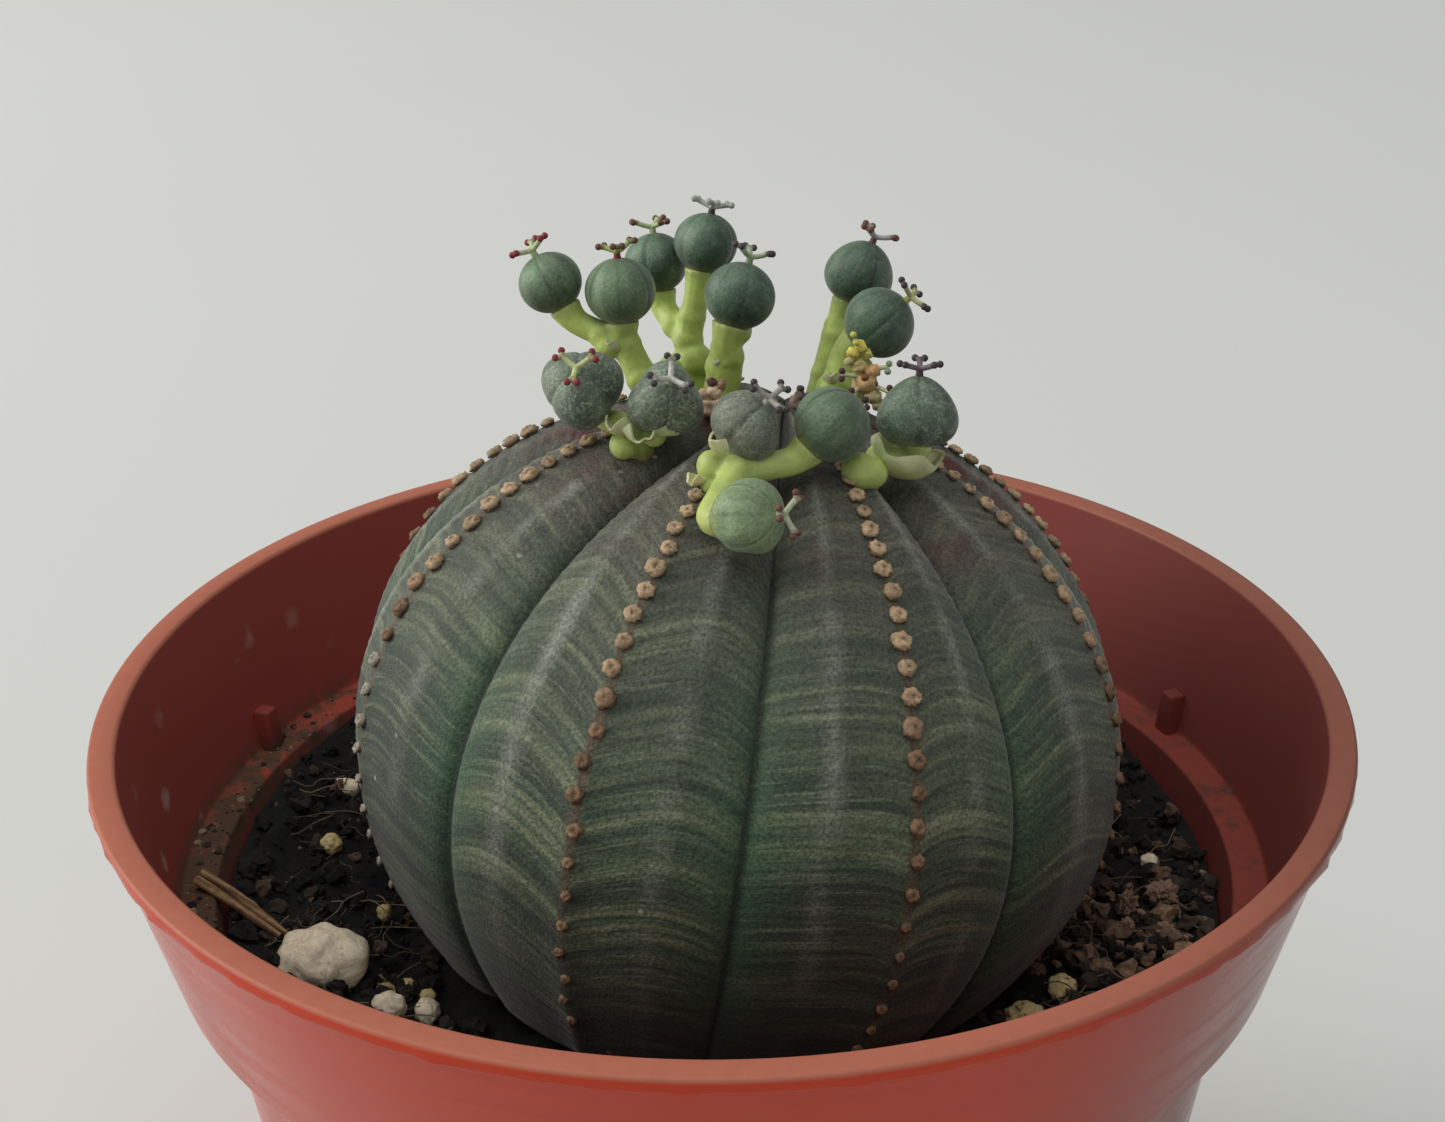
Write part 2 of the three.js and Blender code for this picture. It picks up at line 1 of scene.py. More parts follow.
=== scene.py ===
# %% [markdown]
# # A baseball plant in fruit
#
# The real object is a ball-shaped spurge with eight ribs, a row of scars down each rib and a crown
# of seed capsules on fleshy stalks. It grows in gritty soil in a brick-red plastic nursery pot.
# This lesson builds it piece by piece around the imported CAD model. The CAD model says where every
# piece is and how big it is, and each piece here gets its natural shape and a finish of its own.
# Everything is in metres, and small sizes are written in millimetres times `MM`.

# %% Load the CAD model
import math
import random

import bpy
import numpy as np
from mathutils import Matrix, Quaternion, Vector, noise


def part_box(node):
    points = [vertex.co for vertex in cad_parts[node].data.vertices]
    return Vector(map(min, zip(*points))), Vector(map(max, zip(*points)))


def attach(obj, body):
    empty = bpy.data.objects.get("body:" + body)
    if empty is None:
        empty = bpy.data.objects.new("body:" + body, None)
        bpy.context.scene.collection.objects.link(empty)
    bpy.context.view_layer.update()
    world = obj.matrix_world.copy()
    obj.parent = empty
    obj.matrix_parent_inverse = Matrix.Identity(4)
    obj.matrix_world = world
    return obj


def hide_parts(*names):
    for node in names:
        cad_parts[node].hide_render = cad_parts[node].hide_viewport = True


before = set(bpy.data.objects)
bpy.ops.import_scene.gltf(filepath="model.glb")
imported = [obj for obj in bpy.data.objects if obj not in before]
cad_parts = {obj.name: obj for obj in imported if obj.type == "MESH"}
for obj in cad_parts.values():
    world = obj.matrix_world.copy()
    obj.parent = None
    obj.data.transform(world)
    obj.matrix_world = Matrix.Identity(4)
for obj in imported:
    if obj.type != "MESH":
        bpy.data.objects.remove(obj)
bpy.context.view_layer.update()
bpy.ops.object.select_all(action="DESELECT")
MM = 0.001
UP = Vector((0, 0, 1))

# %% [markdown]
# ## The camera
#
# The camera comes first, because every later choice is judged through it. It stands a little above
# the crown and looks down into the pot, so that the rim makes a wide ellipse round the plant.

# %% Camera
CAMERA_PLACE = Vector((0, -0.172478, 0.194202))
CAMERA_RIGHT = Vector((0.999910, -0.006968, -0.011463))
CAMERA_UP = Vector((0.013344, 0.428847, 0.903279))
CAMERA_BACK = CAMERA_RIGHT.cross(CAMERA_UP)

bpy.ops.object.camera_add(location=CAMERA_PLACE)
camera = bpy.context.active_object
camera.name = "camera"
camera.rotation_euler = Matrix((CAMERA_RIGHT, CAMERA_UP, CAMERA_BACK)).transposed().to_euler()
camera.data.lens = 49.83
camera.data.sensor_width = 36
camera.data.clip_start = 0.01
bpy.context.scene.camera = camera

# %% [markdown]
# ## Small tools
#
# An operator works on whatever is active and selected. These helpers name a new piece, make it the
# only selected one, apply a modifier, and set a piece's place into its mesh.

# %% Tools for pieces
def only(piece):
    """Makes a piece active and the only one selected."""
    bpy.ops.object.select_all(action="DESELECT")
    piece.select_set(True)
    bpy.context.view_layer.objects.active = piece
    return piece


def named(name):
    """Names the piece that was just made, and sets its place into its mesh."""
    piece = bpy.context.active_object
    piece.name = name
    piece.data.name = name
    only(piece)
    bpy.ops.object.transform_apply(location=True, rotation=True, scale=True)
    return piece


def modified(piece, kind, **settings):
    """Adds a modifier with its settings and applies it."""
    only(piece)
    bpy.ops.object.modifier_add(type=kind)
    modifier = piece.modifiers[-1]
    for key, value in settings.items():
        setattr(modifier, key, value)
    bpy.ops.object.modifier_apply(modifier=modifier.name)
    return piece


def joined(pieces, name):
    """Joins pieces into one."""
    only(pieces[0])
    for piece in pieces[1:]:
        piece.select_set(True)
    if len(pieces) > 1:
        bpy.ops.object.join()
    return named(name)


def smooth(piece, degrees=180):
    """Smooth shading, with creases kept at edges sharper than an angle."""
    only(piece)
    bpy.ops.object.shade_smooth_by_angle(angle=math.radians(degrees))
    return piece


def points_of(piece):
    """The places of a piece's vertices, one row each."""
    places = np.empty(3 * len(piece.data.vertices), np.float32)
    piece.data.vertices.foreach_get("co", places)
    return places.reshape(-1, 3).astype(float)


def set_points(piece, places):
    piece.data.vertices.foreach_set("co", np.asarray(places, np.float32).ravel())
    piece.data.update()


def moved(places, matrix):
    """Places turned and moved by a matrix."""
    return places @ np.array(matrix.to_3x3()).T + np.array(matrix.translation)


def polar(radius, degrees, height=0.0):
    """A point at an azimuth measured from +X towards +Y."""
    angle = math.radians(degrees)
    return Vector((radius * math.cos(angle), radius * math.sin(angle), height))


def report(piece):
    size = [round(side / MM, 1) for side in piece.dimensions]
    print(f"{piece.name}: {len(piece.data.polygons)} faces, {size} mm")

# %% [markdown]
# ## Tools for finishes
#
# A finish is a small tree of nodes that ends in a Principled shader. `add` makes one node, wires
# what is a socket and sets what is a number. Patterns read Object coordinates, or colours and
# places that were stored on the vertices, so they stay with the piece when it moves.

# %% Tools for finishes
def add(tree, kind, inputs=None, **settings):
    """Adds a node. An input that is a socket is wired, and any other is set as a value."""
    node = tree.nodes.new("ShaderNode" + kind)
    for key, value in settings.items():
        setattr(node, key, value)
    for key, value in (inputs or {}).items():
        if isinstance(value, bpy.types.NodeSocket):
            tree.links.new(value, node.inputs[key])
        else:
            node.inputs[key].default_value = value
    return node


def new_finish(name, **sockets):
    """A material with a Principled shader, whose steady values are set on the shader itself."""
    material = bpy.data.materials.new(name)
    material.use_nodes = True
    shader = material.node_tree.nodes["Principled BSDF"]
    for key, value in sockets.items():
        shader.inputs[key.replace("_", " ")].default_value = value
    return material, material.node_tree, shader


def object_place(tree):
    return add(tree, "TexCoord").outputs["Object"]


def stored(tree, name, output="Vector"):
    return add(tree, "Attribute", attribute_name=name).outputs[output]


def noise_of(tree, place, scale, detail=3.0, roughness=0.55):
    inputs = {"Vector": place, "Scale": scale, "Detail": detail, "Roughness": roughness}
    return add(tree, "TexNoise", inputs).outputs["Fac"]


def between(tree, value, low, high, start=0.0, end=1.0):
    """Maps a value from low..high to start..end, held at both ends."""
    inputs = {"Value": value, "From Min": low, "From Max": high, "To Min": start, "To Max": end}
    return add(tree, "MapRange", inputs).outputs["Result"]


def times(tree, first, second):
    return add(tree, "Math", {0: first, 1: second}, operation="MULTIPLY").outputs["Value"]


def plus(tree, first, second):
    return add(tree, "Math", {0: first, 1: second}, operation="ADD").outputs["Value"]


def mixed_number(tree, share, first, second):
    """A mix of two numbers."""
    return add(tree, "Mix", {0: share, 2: first, 3: second}, data_type="FLOAT").outputs[0]


def blended(tree, share, first, second, how="MIX"):
    """A mix of two colours."""
    node = tree.nodes.new("ShaderNodeMix")
    node.data_type = "RGBA"
    node.blend_type = how
    for socket, value in ((node.inputs[0], share), (node.inputs[6], first), (node.inputs[7], second)):
        if isinstance(value, bpy.types.NodeSocket):
            tree.links.new(value, socket)
        elif isinstance(value, tuple):
            socket.default_value = (*value, 1.0)
        else:
            socket.default_value = value
    return node.outputs[2]


def shaded(tree, colour, amount):
    """A colour made darker or lighter by a pattern."""
    grey = add(tree, "CombineXYZ", {0: amount, 1: amount, 2: amount}).outputs[0]
    return blended(tree, 1.0, colour, grey, "MULTIPLY")


def axis_of(tree, place, axis):
    return add(tree, "SeparateXYZ", {"Vector": place}).outputs[axis]


def bumped(tree, shader, height, depth, strength=1.0):
    """Raises the surface by a depth in metres where a pattern is high."""
    inputs = {"Height": height, "Distance": depth, "Strength": strength}
    bump = add(tree, "Bump", inputs)
    tree.links.new(bump.outputs["Normal"], shader.inputs["Normal"])


def paint(piece, colours):
    """Stores a colour on every vertex."""
    layer = piece.data.color_attributes.new("paint", "FLOAT_COLOR", "POINT")
    values = np.ones((len(piece.data.vertices), 4), np.float32)
    values[:, :3] = colours
    layer.data.foreach_set("color", values.ravel())


def grouped(parts, name):
    """Joins parts, each with its colour, into one painted piece."""
    colours = [np.broadcast_to(colour, (len(part.data.vertices), 3)) for part, colour in parts]
    piece = joined([part for part, _ in parts], name)
    paint(piece, np.concatenate(colours))
    return piece


def store_places(piece, name, places):
    """Stores a place of the pattern on every vertex."""
    layer = piece.data.attributes.new(name, "FLOAT_VECTOR", "POINT")
    layer.data.foreach_set("vector", np.asarray(places, np.float32).ravel())


def dressed(piece, material):
    """Gives a piece its finish and its body."""
    piece.data.materials.clear()
    piece.data.materials.append(material)
    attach(piece, "root")
    report(piece)
    return piece


def stepped(low, high, value):
    """A smooth step from 0 at low to 1 at high."""
    share = np.clip((np.asarray(value, float) - low) / (high - low), 0, 1)
    return share * share * (3 - 2 * share)

# %% [markdown]
# ## The pot
#
# A nursery pot is blown or injection-moulded as one thin shell: a tapered cup, a step, a wider
# collar and a flat lip. It is a body of revolution, so its wall is drawn once as an outline and
# spun round the axis. A small bevel afterwards gives every moulded edge the soft line that catches
# the light. The stacking lugs and drain holes are added to the spun shell.

# %% Outline and spin
pot_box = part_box("pot")
RIM = pot_box[1].x
POT_HEIGHT = pot_box[1].z
WALL = 1.2 * MM
COLLAR_HEIGHT = 19.8 * MM
LIP_THICKNESS = 1.5 * MM
LIP_WIDTH = 2.45 * MM
LEDGE_HEIGHT = POT_HEIGHT - 18.6 * MM
COLLAR_INNER = RIM - 6.1 * MM
LEDGE_INNER = COLLAR_INNER - 3.3 * MM
CUP_TAPER = 10.4 * MM
FLOOR_TOP = 4.5 * MM
FLOOR_UNDERSIDE = 3 * MM
FOOT_WIDTH = 3.5 * MM
SPIN_STEPS = 240


def cup_radius(height):
    """The cup's inside radius at a height below the ledge."""
    return LEDGE_INNER - CUP_TAPER * (LEDGE_HEIGHT - height) / LEDGE_HEIGHT


def outline(name, corners):
    """A chain of edges through corners (radius, height), extruded from a single vertex."""
    places = [Vector((radius, 0, height)) for radius, height in corners]
    bpy.ops.mesh.primitive_plane_add(size=MM, location=places[0])
    bpy.ops.object.mode_set(mode="EDIT")
    bpy.ops.mesh.merge(type="CENTER")
    for start, end in zip(places, places[1:]):
        bpy.ops.mesh.extrude_vertices_move(TRANSFORM_OT_translate={"value": end - start})
    bpy.ops.object.mode_set(mode="OBJECT")
    return named(name)


def spun(piece, steps):
    """Spins an outline round the upright axis and closes the skin."""
    only(piece)
    bpy.ops.object.mode_set(mode="EDIT")
    bpy.ops.mesh.select_all(action="SELECT")
    bpy.ops.mesh.spin(steps=steps, angle=math.tau, center=(0, 0, 0), axis=(0, 0, 1))
    bpy.ops.mesh.select_all(action="SELECT")
    bpy.ops.mesh.remove_doubles(threshold=0.01 * MM)
    bpy.ops.mesh.normals_make_consistent(inside=False)
    bpy.ops.object.mode_set(mode="OBJECT")
    return piece


foot_outer = cup_radius(0) + WALL
foot_inner = foot_outer - FOOT_WIDTH
collar_foot = POT_HEIGHT - COLLAR_HEIGHT
pot = outline("nursery_pot", [
    (0, FLOOR_UNDERSIDE),
    (foot_inner, FLOOR_UNDERSIDE),
    (foot_inner, 0),
    (foot_outer - 0.5 * MM, 0),
    (cup_radius(1 * MM) + WALL, 1 * MM),
    (LEDGE_INNER + WALL, collar_foot),
    (COLLAR_INNER + 1.1 * MM, collar_foot),
    (RIM - 0.8 * MM, POT_HEIGHT - LIP_THICKNESS - 0.1 * MM),
    (RIM, POT_HEIGHT - LIP_THICKNESS),
    (RIM, POT_HEIGHT),
    (RIM - LIP_WIDTH, POT_HEIGHT),
    (COLLAR_INNER, LEDGE_HEIGHT),
    (LEDGE_INNER, LEDGE_HEIGHT),
    (cup_radius(FLOOR_TOP), FLOOR_TOP),
    (0, FLOOR_TOP),
])
spun(pot, SPIN_STEPS)
modified(pot, "BEVEL", width=0.35 * MM, segments=3, limit_method="ANGLE", angle_limit=math.radians(25))
report(pot)

# %% Drain holes and stacking lugs
DRAIN_RINGS = ((12 * MM, 4), (28 * MM, 8))
DRAIN_RADIUS = 2 * MM
LUG_SIZE = (2.3 * MM, 2.4 * MM, 5 * MM)
LUG_AZIMUTHS = (22, 159, 202, 339)

drills = []
for ring_radius, count in DRAIN_RINGS:
    for hole in range(count):
        place = polar(ring_radius, 360 * hole / count, 3.5 * MM)
        bpy.ops.mesh.primitive_cylinder_add(vertices=24, radius=DRAIN_RADIUS, depth=6 * MM, location=place)
        drills.append(named("drill"))
drill = joined(drills, "drill")
modified(pot, "BOOLEAN", object=drill, operation="DIFFERENCE", solver="EXACT")
bpy.data.objects.remove(drill)


def stacking_lug(azimuth):
    """A block on the ledge, narrower at its top and leaning into the collar."""
    bpy.ops.mesh.primitive_cube_add(size=1)
    lug = bpy.context.active_object
    lug.scale = LUG_SIZE
    lug = named("stacking_lug")
    places = points_of(lug)
    high = places[:, 2] > 0
    places[high, 1] *= 0.8
    places[high & (places[:, 0] < 0), 0] += 0.5 * MM
    set_points(lug, places)
    modified(lug, "BEVEL", width=0.3 * MM, segments=3)
    lug.matrix_world = (Matrix.Rotation(math.radians(azimuth), 4, "Z")
                        @ Matrix.Translation((COLLAR_INNER - 0.4 * MM, 0, LEDGE_HEIGHT + 2.1 * MM)))
    return lug


pot = joined([pot] + [stacking_lug(azimuth) for azimuth in LUG_AZIMUTHS], "nursery_pot")

# A thin ragged line of flash runs along the lip's outer edge, where the mould halves met.
ragged_rim = points_of(pot)
rim_reach = np.hypot(ragged_rim[:, 0], ragged_rim[:, 1])
rim_turn = np.arctan2(ragged_rim[:, 1], ragged_rim[:, 0])
flash = (0.1 * np.sin(61 * rim_turn) + 0.09 * np.sin(97 * rim_turn + 1)
         + 0.08 * np.sin(23 * rim_turn + 2))
on_edge = (rim_reach > RIM - 0.6 * MM) & (ragged_rim[:, 2] < POT_HEIGHT - 1.0 * MM)
ragged_rim[:, :2] *= 1 + (on_edge * np.maximum(flash, -0.05) * MM / rim_reach.clip(MM))[:, None]
set_points(pot, ragged_rim)
smooth(pot, 35)

# %% [markdown]
# The plastic is glossy and even in colour, so its life comes from what lies on it: dust and crumbs
# of soil along the ledge, dried water spots on the inner wall, faint scuffs round the collar, and a
# satin lip that hands have rubbed. Light and shade are painted into its colour as well: painted shade
# darkens the inner wall and the right side, away from the window, painted light brightens the outer
# wall, and the ledge's top carries a painted highlight. Each vertex stores which way it faces from
# the pot's axis and whether it is outside, so that dust and water marks keep to the left, the inside
# can be duller and the painted shade can fall on the right.

# %% Places on the wall
pot_places = points_of(pot)
pot_normals = np.array([vertex.normal for vertex in pot.data.vertices])
pot_reach = np.hypot(pot_places[:, 0], pot_places[:, 1])
outward_share = (pot_normals[:, :2] * pot_places[:, :2]).sum(1) / np.maximum(pot_reach, MM)
outside = (outward_share > 0.2).astype(float)
level_way = pot_places[:, :2] / np.maximum(pot_reach, MM)[:, None]
store_places(pot, "wall", np.column_stack([level_way, outside]))

# %% Pot plastic
plastic, tree, shader = new_finish("brick_plastic", Specular_IOR_Level=0.2)
place = object_place(tree)
wall = stored(tree, "wall")
height = axis_of(tree, place, "Z")
rightward = axis_of(tree, wall, "X")
outer = axis_of(tree, wall, "Z")
inside = between(tree, outer, 0.5, 0.4)
lip = between(tree, height, POT_HEIGHT - 0.5 * MM, POT_HEIGHT - 0.2 * MM)
cloudy = noise_of(tree, place, 25, 3)
fine = noise_of(tree, place, 700, 4)
stretched = add(tree, "VectorMath", {0: place, 1: (29, 29, 550)}, operation="MULTIPLY")
streaks = noise_of(tree, stretched.outputs["Vector"], 1.0, 4, 0.6)
# Painted light and shade: the inner wall's red is darker as shade and the outer wall's brighter as light.
inner_brick_painted_shade = blended(tree, cloudy, (0.25, 0.044, 0.036), (0.31, 0.058, 0.046))
outer_brick_painted_light = blended(tree, streaks, (0.45, 0.035, 0.012), (0.57, 0.06, 0.022))
brick = blended(tree, outer, inner_brick_painted_shade, outer_brick_painted_light)
lip_colour = blended(tree, fine, (0.4, 0.12, 0.072), (0.46, 0.155, 0.1))
colour = blended(tree, lip, brick, lip_colour)
# Painted highlight: the ledge's top is given a lighter red than the shaded inner wall.
on_ledge = times(tree, between(tree, height, LEDGE_HEIGHT - 0.4 * MM, LEDGE_HEIGHT - 0.1 * MM),
                 between(tree, height, LEDGE_HEIGHT + 0.9 * MM, LEDGE_HEIGHT + 0.4 * MM))
on_ledge = times(tree, on_ledge, inside)
colour = blended(tree, times(tree, on_ledge, 0.7), colour, (0.42, 0.07, 0.04))

ledge_low = between(tree, height, LEDGE_HEIGHT - 6 * MM, LEDGE_HEIGHT - 0.5 * MM)
ledge_high = between(tree, height, LEDGE_HEIGHT + 2.4 * MM, LEDGE_HEIGHT + 0.1 * MM)
leftward = between(tree, rightward, -0.6, -0.92)
grime = plus(tree, noise_of(tree, place, 190, 7, 0.75), times(tree, leftward, 0.17))
dust = times(tree, between(tree, grime, 0.52, 0.66), times(tree, ledge_low, ledge_high))
dust = times(tree, dust, inside)
colour = blended(tree, dust, colour, (0.1, 0.058, 0.036))

drop = add(tree, "TexVoronoi", {"Vector": place, "Scale": 150.0, "Randomness": 1.0}).outputs["Distance"]
ragged = plus(tree, drop, times(tree, fine, 0.25))
scattered = between(tree, noise_of(tree, place, 75, 2), 0.38, 0.46)
spots = times(tree, between(tree, ragged, 0.36, 0.24), scattered)
wet_side = between(tree, rightward, -0.8, -0.92)
spots = times(tree, times(tree, spots, wet_side), inside)
spots = times(tree, spots, between(tree, height, POT_HEIGHT - 4 * MM, POT_HEIGHT - 7 * MM))
colour = blended(tree, times(tree, spots, 0.65), colour, (0.42, 0.26, 0.22))
# Painted shade: the right side, away from the window, is darkened, more on the outside.
painted_shade_right = between(tree, rightward, 0.3, 0.87)
painted_shade_right = times(tree, painted_shade_right, between(tree, outer, 0, 1, 0.42, 0.66))
colour = blended(tree, painted_shade_right, colour, (0.06, 0.027, 0.025))
tree.links.new(colour, shader.inputs["Base Color"])

rough = mixed_number(tree, outer, 0.6, between(tree, streaks, 0.3, 0.75, 0.12, 0.3))
rough = mixed_number(tree, lip, rough, 0.45)
rough = mixed_number(tree, dust, rough, 0.95)
tree.links.new(rough, shader.inputs["Roughness"])
bumped(tree, shader, cloudy, 0.2 * MM, 0.3)
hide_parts("pot")
dressed(pot, plastic)

# %% [markdown]
# ## The place of the plant
#
# The plant leans a little to the back right. Its own frame has its middle in the ball and its
# upright axis through the crown. Ridges and grooves are at fixed azimuths round that axis, and
# places over the crown are counted in capsule widths: across, back, and out from the skin.

# %% The plant's frame
BALL_RADIUS = 36.8 * MM
CAPSULE = 6.4 * MM
PLANT_MIDDLE = Vector((1.1, 0.4, 91)) * MM
LEAN = math.radians(10)
lean_axis = polar(math.sin(LEAN), 35, math.cos(LEAN))
PLANT = Matrix.Translation(PLANT_MIDDLE) @ UP.rotation_difference(lean_axis).to_matrix().to_4x4()
PLANT_TURN = PLANT.to_3x3()
RIDGES = (-105, -69, -23.5, 21, 68, 102, 153, 204)
GROOVES = (-88, -45, -1.5, 40, 85, 128, 179, 230)


def ball_radius(elevation):
    """The ball's radius at an elevation: fuller above than below, with high shoulders."""
    fullness = (0.016 * np.sin(elevation) + 0.036 * np.sin(3 * elevation)
                + 0.017 * np.cos(4 * elevation))
    return BALL_RADIUS * (1 + fullness)


def perch(across, back, out):
    """A place over the crown in the row frame."""
    x, y = across * CAPSULE, back * CAPSULE
    direction = Vector((x, y, math.sqrt(BALL_RADIUS ** 2 - x * x - y * y))).normalized()
    reach = float(ball_radius(math.asin(direction.z))) + out * CAPSULE
    return PLANT @ (direction * reach)


def skin_place(azimuth, elevation, out=0.0):
    """A place on the ball, at an azimuth from the front towards +X, and the way out there."""
    east, rise = math.radians(azimuth), math.radians(elevation)
    outward = Vector((math.sin(east) * math.cos(rise), -math.cos(east) * math.cos(rise),
                      math.sin(rise)))
    return PLANT @ (outward * (float(ball_radius(rise)) + out)), PLANT_TURN @ outward


plant_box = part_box("plant_body")
print("ball from", [round(c / MM, 1) for c in plant_box[0]], "to", [round(c / MM, 1) for c in plant_box[1]])

# %% [markdown]
# ## The ribbed ball
#
# The ball starts as a UV sphere whose columns are shared out so that one falls on every ridge and
# one in every groove. No operator knows how a rib swells, so the vertices are then moved in code:
# out at the ridge, in at the groove, deeper towards the crown, with a faint crest halfway down each
# flank. Fine cross wrinkles and a soft crest along every ridge are in the shape as well, because
# they break the outline along the side ribs.

# %% Ribbed ball
HALF_RIB_COLUMNS = 17
BALL_RINGS = 250
ROOT_RINGS = 12
ROOT_TOP = math.radians(-34)
columns = 16 * HALF_RIB_COLUMNS

bpy.ops.mesh.primitive_uv_sphere_add(segments=columns, ring_count=BALL_RINGS, radius=1)
ball = named("ribbed_ball")
start = points_of(ball)
turn = np.mod(np.degrees(np.arctan2(start[:, 0], -start[:, 1])), 360) / 22.5
half_rib = np.floor(turn + 1e-4).astype(int) % 16
along = np.clip(turn - np.floor(turn + 1e-4), 0, 1)
eased = along - 0.6 * np.sin(math.tau * along) / math.tau
ridge_ring = np.array([*RIDGES, RIDGES[0] + 360], float)
groove_ring = np.array(GROOVES, float)
rib = half_rib // 2
falling = half_rib % 2 == 0
azimuth = np.where(falling,
                   ridge_ring[rib] + eased * (groove_ring[rib] - ridge_ring[rib]),
                   groove_ring[rib] + eased * (ridge_ring[rib + 1] - groove_ring[rib]))
share = np.where(falling, eased, 1 - eased)
ring = np.round((np.arcsin(np.clip(start[:, 2], -1, 1)) / math.pi + 0.5) * BALL_RINGS)
climb = np.clip((ring - ROOT_RINGS) / (BALL_RINGS - ROOT_RINGS), 0, 1)
elevation = ROOT_TOP + climb * (math.pi / 2 - ROOT_TOP)
sunk = np.clip(1 - ring / ROOT_RINGS, 0, 1)

radius = ball_radius(elevation)
crown = np.maximum(0, np.sin(elevation)) ** 2.5
groove = 0.03 + 0.07 * crown
arc = elevation * BALL_RADIUS / MM
sway = 0.9 * np.sin(math.pi * share) + 0.5 * np.sin(0.11 * azimuth)
wrinkle = (np.sin(4.1 * (arc - sway) + 0.9 * np.sin(0.7 * arc + rib))
           + 0.6 * np.sin(6.7 * (arc - sway) + 1.3 * np.sin(0.9 * arc + 2 * rib)))

# The rib's swell, the fine line in the groove, the soft crest of the ridge, the faint crest
# halfway down each flank, and the cross wrinkles.
radius *= 1 - groove * (0.5 * share ** 1.6 + 0.5 * share ** 7)
radius -= 0.55 * MM * np.exp(-((1 - share) / 0.045) ** 2) * np.sin(np.clip(elevation + 0.9, 0, math.pi / 2))
radius += 0.32 * MM * np.exp(-(share / 0.1) ** 2) * np.cos(elevation)
radius += 0.3 * MM * np.exp(-((share - 0.52) / 0.1) ** 2) * stepped(-0.2, 0.5, elevation)
radius += 0.045 * MM * wrinkle * (0.5 + 1.3 * crown) * stepped(1.4, 1.2, elevation)

# Below the soil the ball narrows into a plain root.
root_share = sunk ** 0.8
spread = radius * np.cos(elevation) * (1 - root_share) + 1.5 * MM * root_share * (ring > 0)
rise = radius * np.sin(elevation) - 26 * MM * sunk ** 1.5
east = np.radians(azimuth)
local = np.stack([spread * np.sin(east), -spread * np.cos(east), rise], 1)
set_points(ball, moved(local, PLANT))
report(ball)

# %% [markdown]
# The skin is matte and finely felted. Bands of lighter and darker green cross every rib, a pale
# line runs down the middle of each flank, the grooves are a purer green, and purple brown shades
# the crown. The bands follow the ribs, so each vertex stores where it is: how far from ridge to
# groove, how high up, and how far along the bands.

# %% Places for the skin's pattern
spin_place = 1.6 * np.stack([np.cos(east), np.sin(east)], 1) + 2.7 * half_rib[:, None]
band_height = arc - 2.1 * np.sin(math.pi * share) ** 0.8 + 0.6 * np.sin(0.21 * azimuth)
store_places(ball, "bands", np.column_stack([spin_place, band_height]))
store_places(ball, "rib", np.column_stack([share, np.sin(elevation), 0 * share]))
smooth(ball)

# %% Skin finish
skin, tree, shader = new_finish("felted_skin", Roughness=0.75, Sheen_Weight=0.2, Sheen_Roughness=0.4)
place = object_place(tree)
bands = stored(tree, "bands")
rib_place = stored(tree, "rib")
across = axis_of(tree, rib_place, "X")
high = axis_of(tree, rib_place, "Y")
broad = noise_of(tree, bands, 0.42, 2, 0.5)
narrow = noise_of(tree, bands, 1.15, 3, 0.6)
patchy = noise_of(tree, place, 90, 4, 0.6)
felt = noise_of(tree, place, 3300, 2, 0.6)

middle = noise_of(tree, bands, 0.78, 2, 0.55)
fine_bands = noise_of(tree, bands, 2.1, 3, 0.6)
stripes = between(tree, narrow, 0.34, 0.68)
low_green = blended(tree, stripes, (0.036, 0.064, 0.037), (0.1, 0.136, 0.075))
high_grey = blended(tree, stripes, (0.058, 0.055, 0.042), (0.095, 0.09, 0.068))
colour = blended(tree, between(tree, high, 0.2, 0.8), low_green, high_grey)
fading = between(tree, high, 0.9, 0.4, 0.3, 1.0)
light_bands = times(tree, between(tree, middle, 0.52, 0.64, 0.0, 0.85), fading)
light_bands = times(tree, light_bands, between(tree, patchy, 0.35, 0.6, 0.35, 1.0))
colour = blended(tree, light_bands, colour, (0.195, 0.22, 0.125))
dark_bands = times(tree, between(tree, broad, 0.53, 0.4, 0.0, 0.9), fading)
colour = blended(tree, dark_bands, colour, (0.03, 0.044, 0.03))
thin_bands = times(tree, between(tree, fine_bands, 0.55, 0.68, 0.0, 0.5), fading)
colour = blended(tree, thin_bands, colour, (0.19, 0.21, 0.14))
crest = times(tree, between(tree, across, 0.05, 0.02), between(tree, high, -0.3, 0.3, 0.15, 0.9))
colour = blended(tree, crest, colour, (0.1, 0.07, 0.042))

vivid = times(tree, between(tree, across, 0.6, 1.0), between(tree, high, 0.85, 0.2))
colour = blended(tree, times(tree, vivid, 0.7), colour, (0.032, 0.1, 0.045))
distance = add(tree, "Math", {0: across, 1: 0.52}, operation="SUBTRACT").outputs["Value"]
distance = add(tree, "Math", {0: distance}, operation="ABSOLUTE").outputs["Value"]
line = times(tree, between(tree, distance, 0.11, 0.0), between(tree, patchy, 0.36, 0.6))
line = times(tree, line, between(tree, high, -0.35, 0.35, 0.22, 0.7))
colour = blended(tree, line, colour, (0.26, 0.275, 0.23))
# Painted shade: a thin dark line runs along the bottom of each groove.
groove_painted_shade = times(tree, between(tree, across, 0.965, 0.99), 0.75)
colour = blended(tree, groove_painted_shade, colour, (0.012, 0.02, 0.012))

blotch = noise_of(tree, place, 105, 3, 0.5)
purple = times(tree, between(tree, blotch, 0.5, 0.57), between(tree, high, 0.74, 0.86))
purple = times(tree, purple, between(tree, across, 0.2, 0.45))
colour = blended(tree, times(tree, purple, 0.95), colour, (0.075, 0.02, 0.02))
felted = between(tree, felt, 0.3, 0.72, 0.5, 1.5)
colour = shaded(tree, colour, felted)
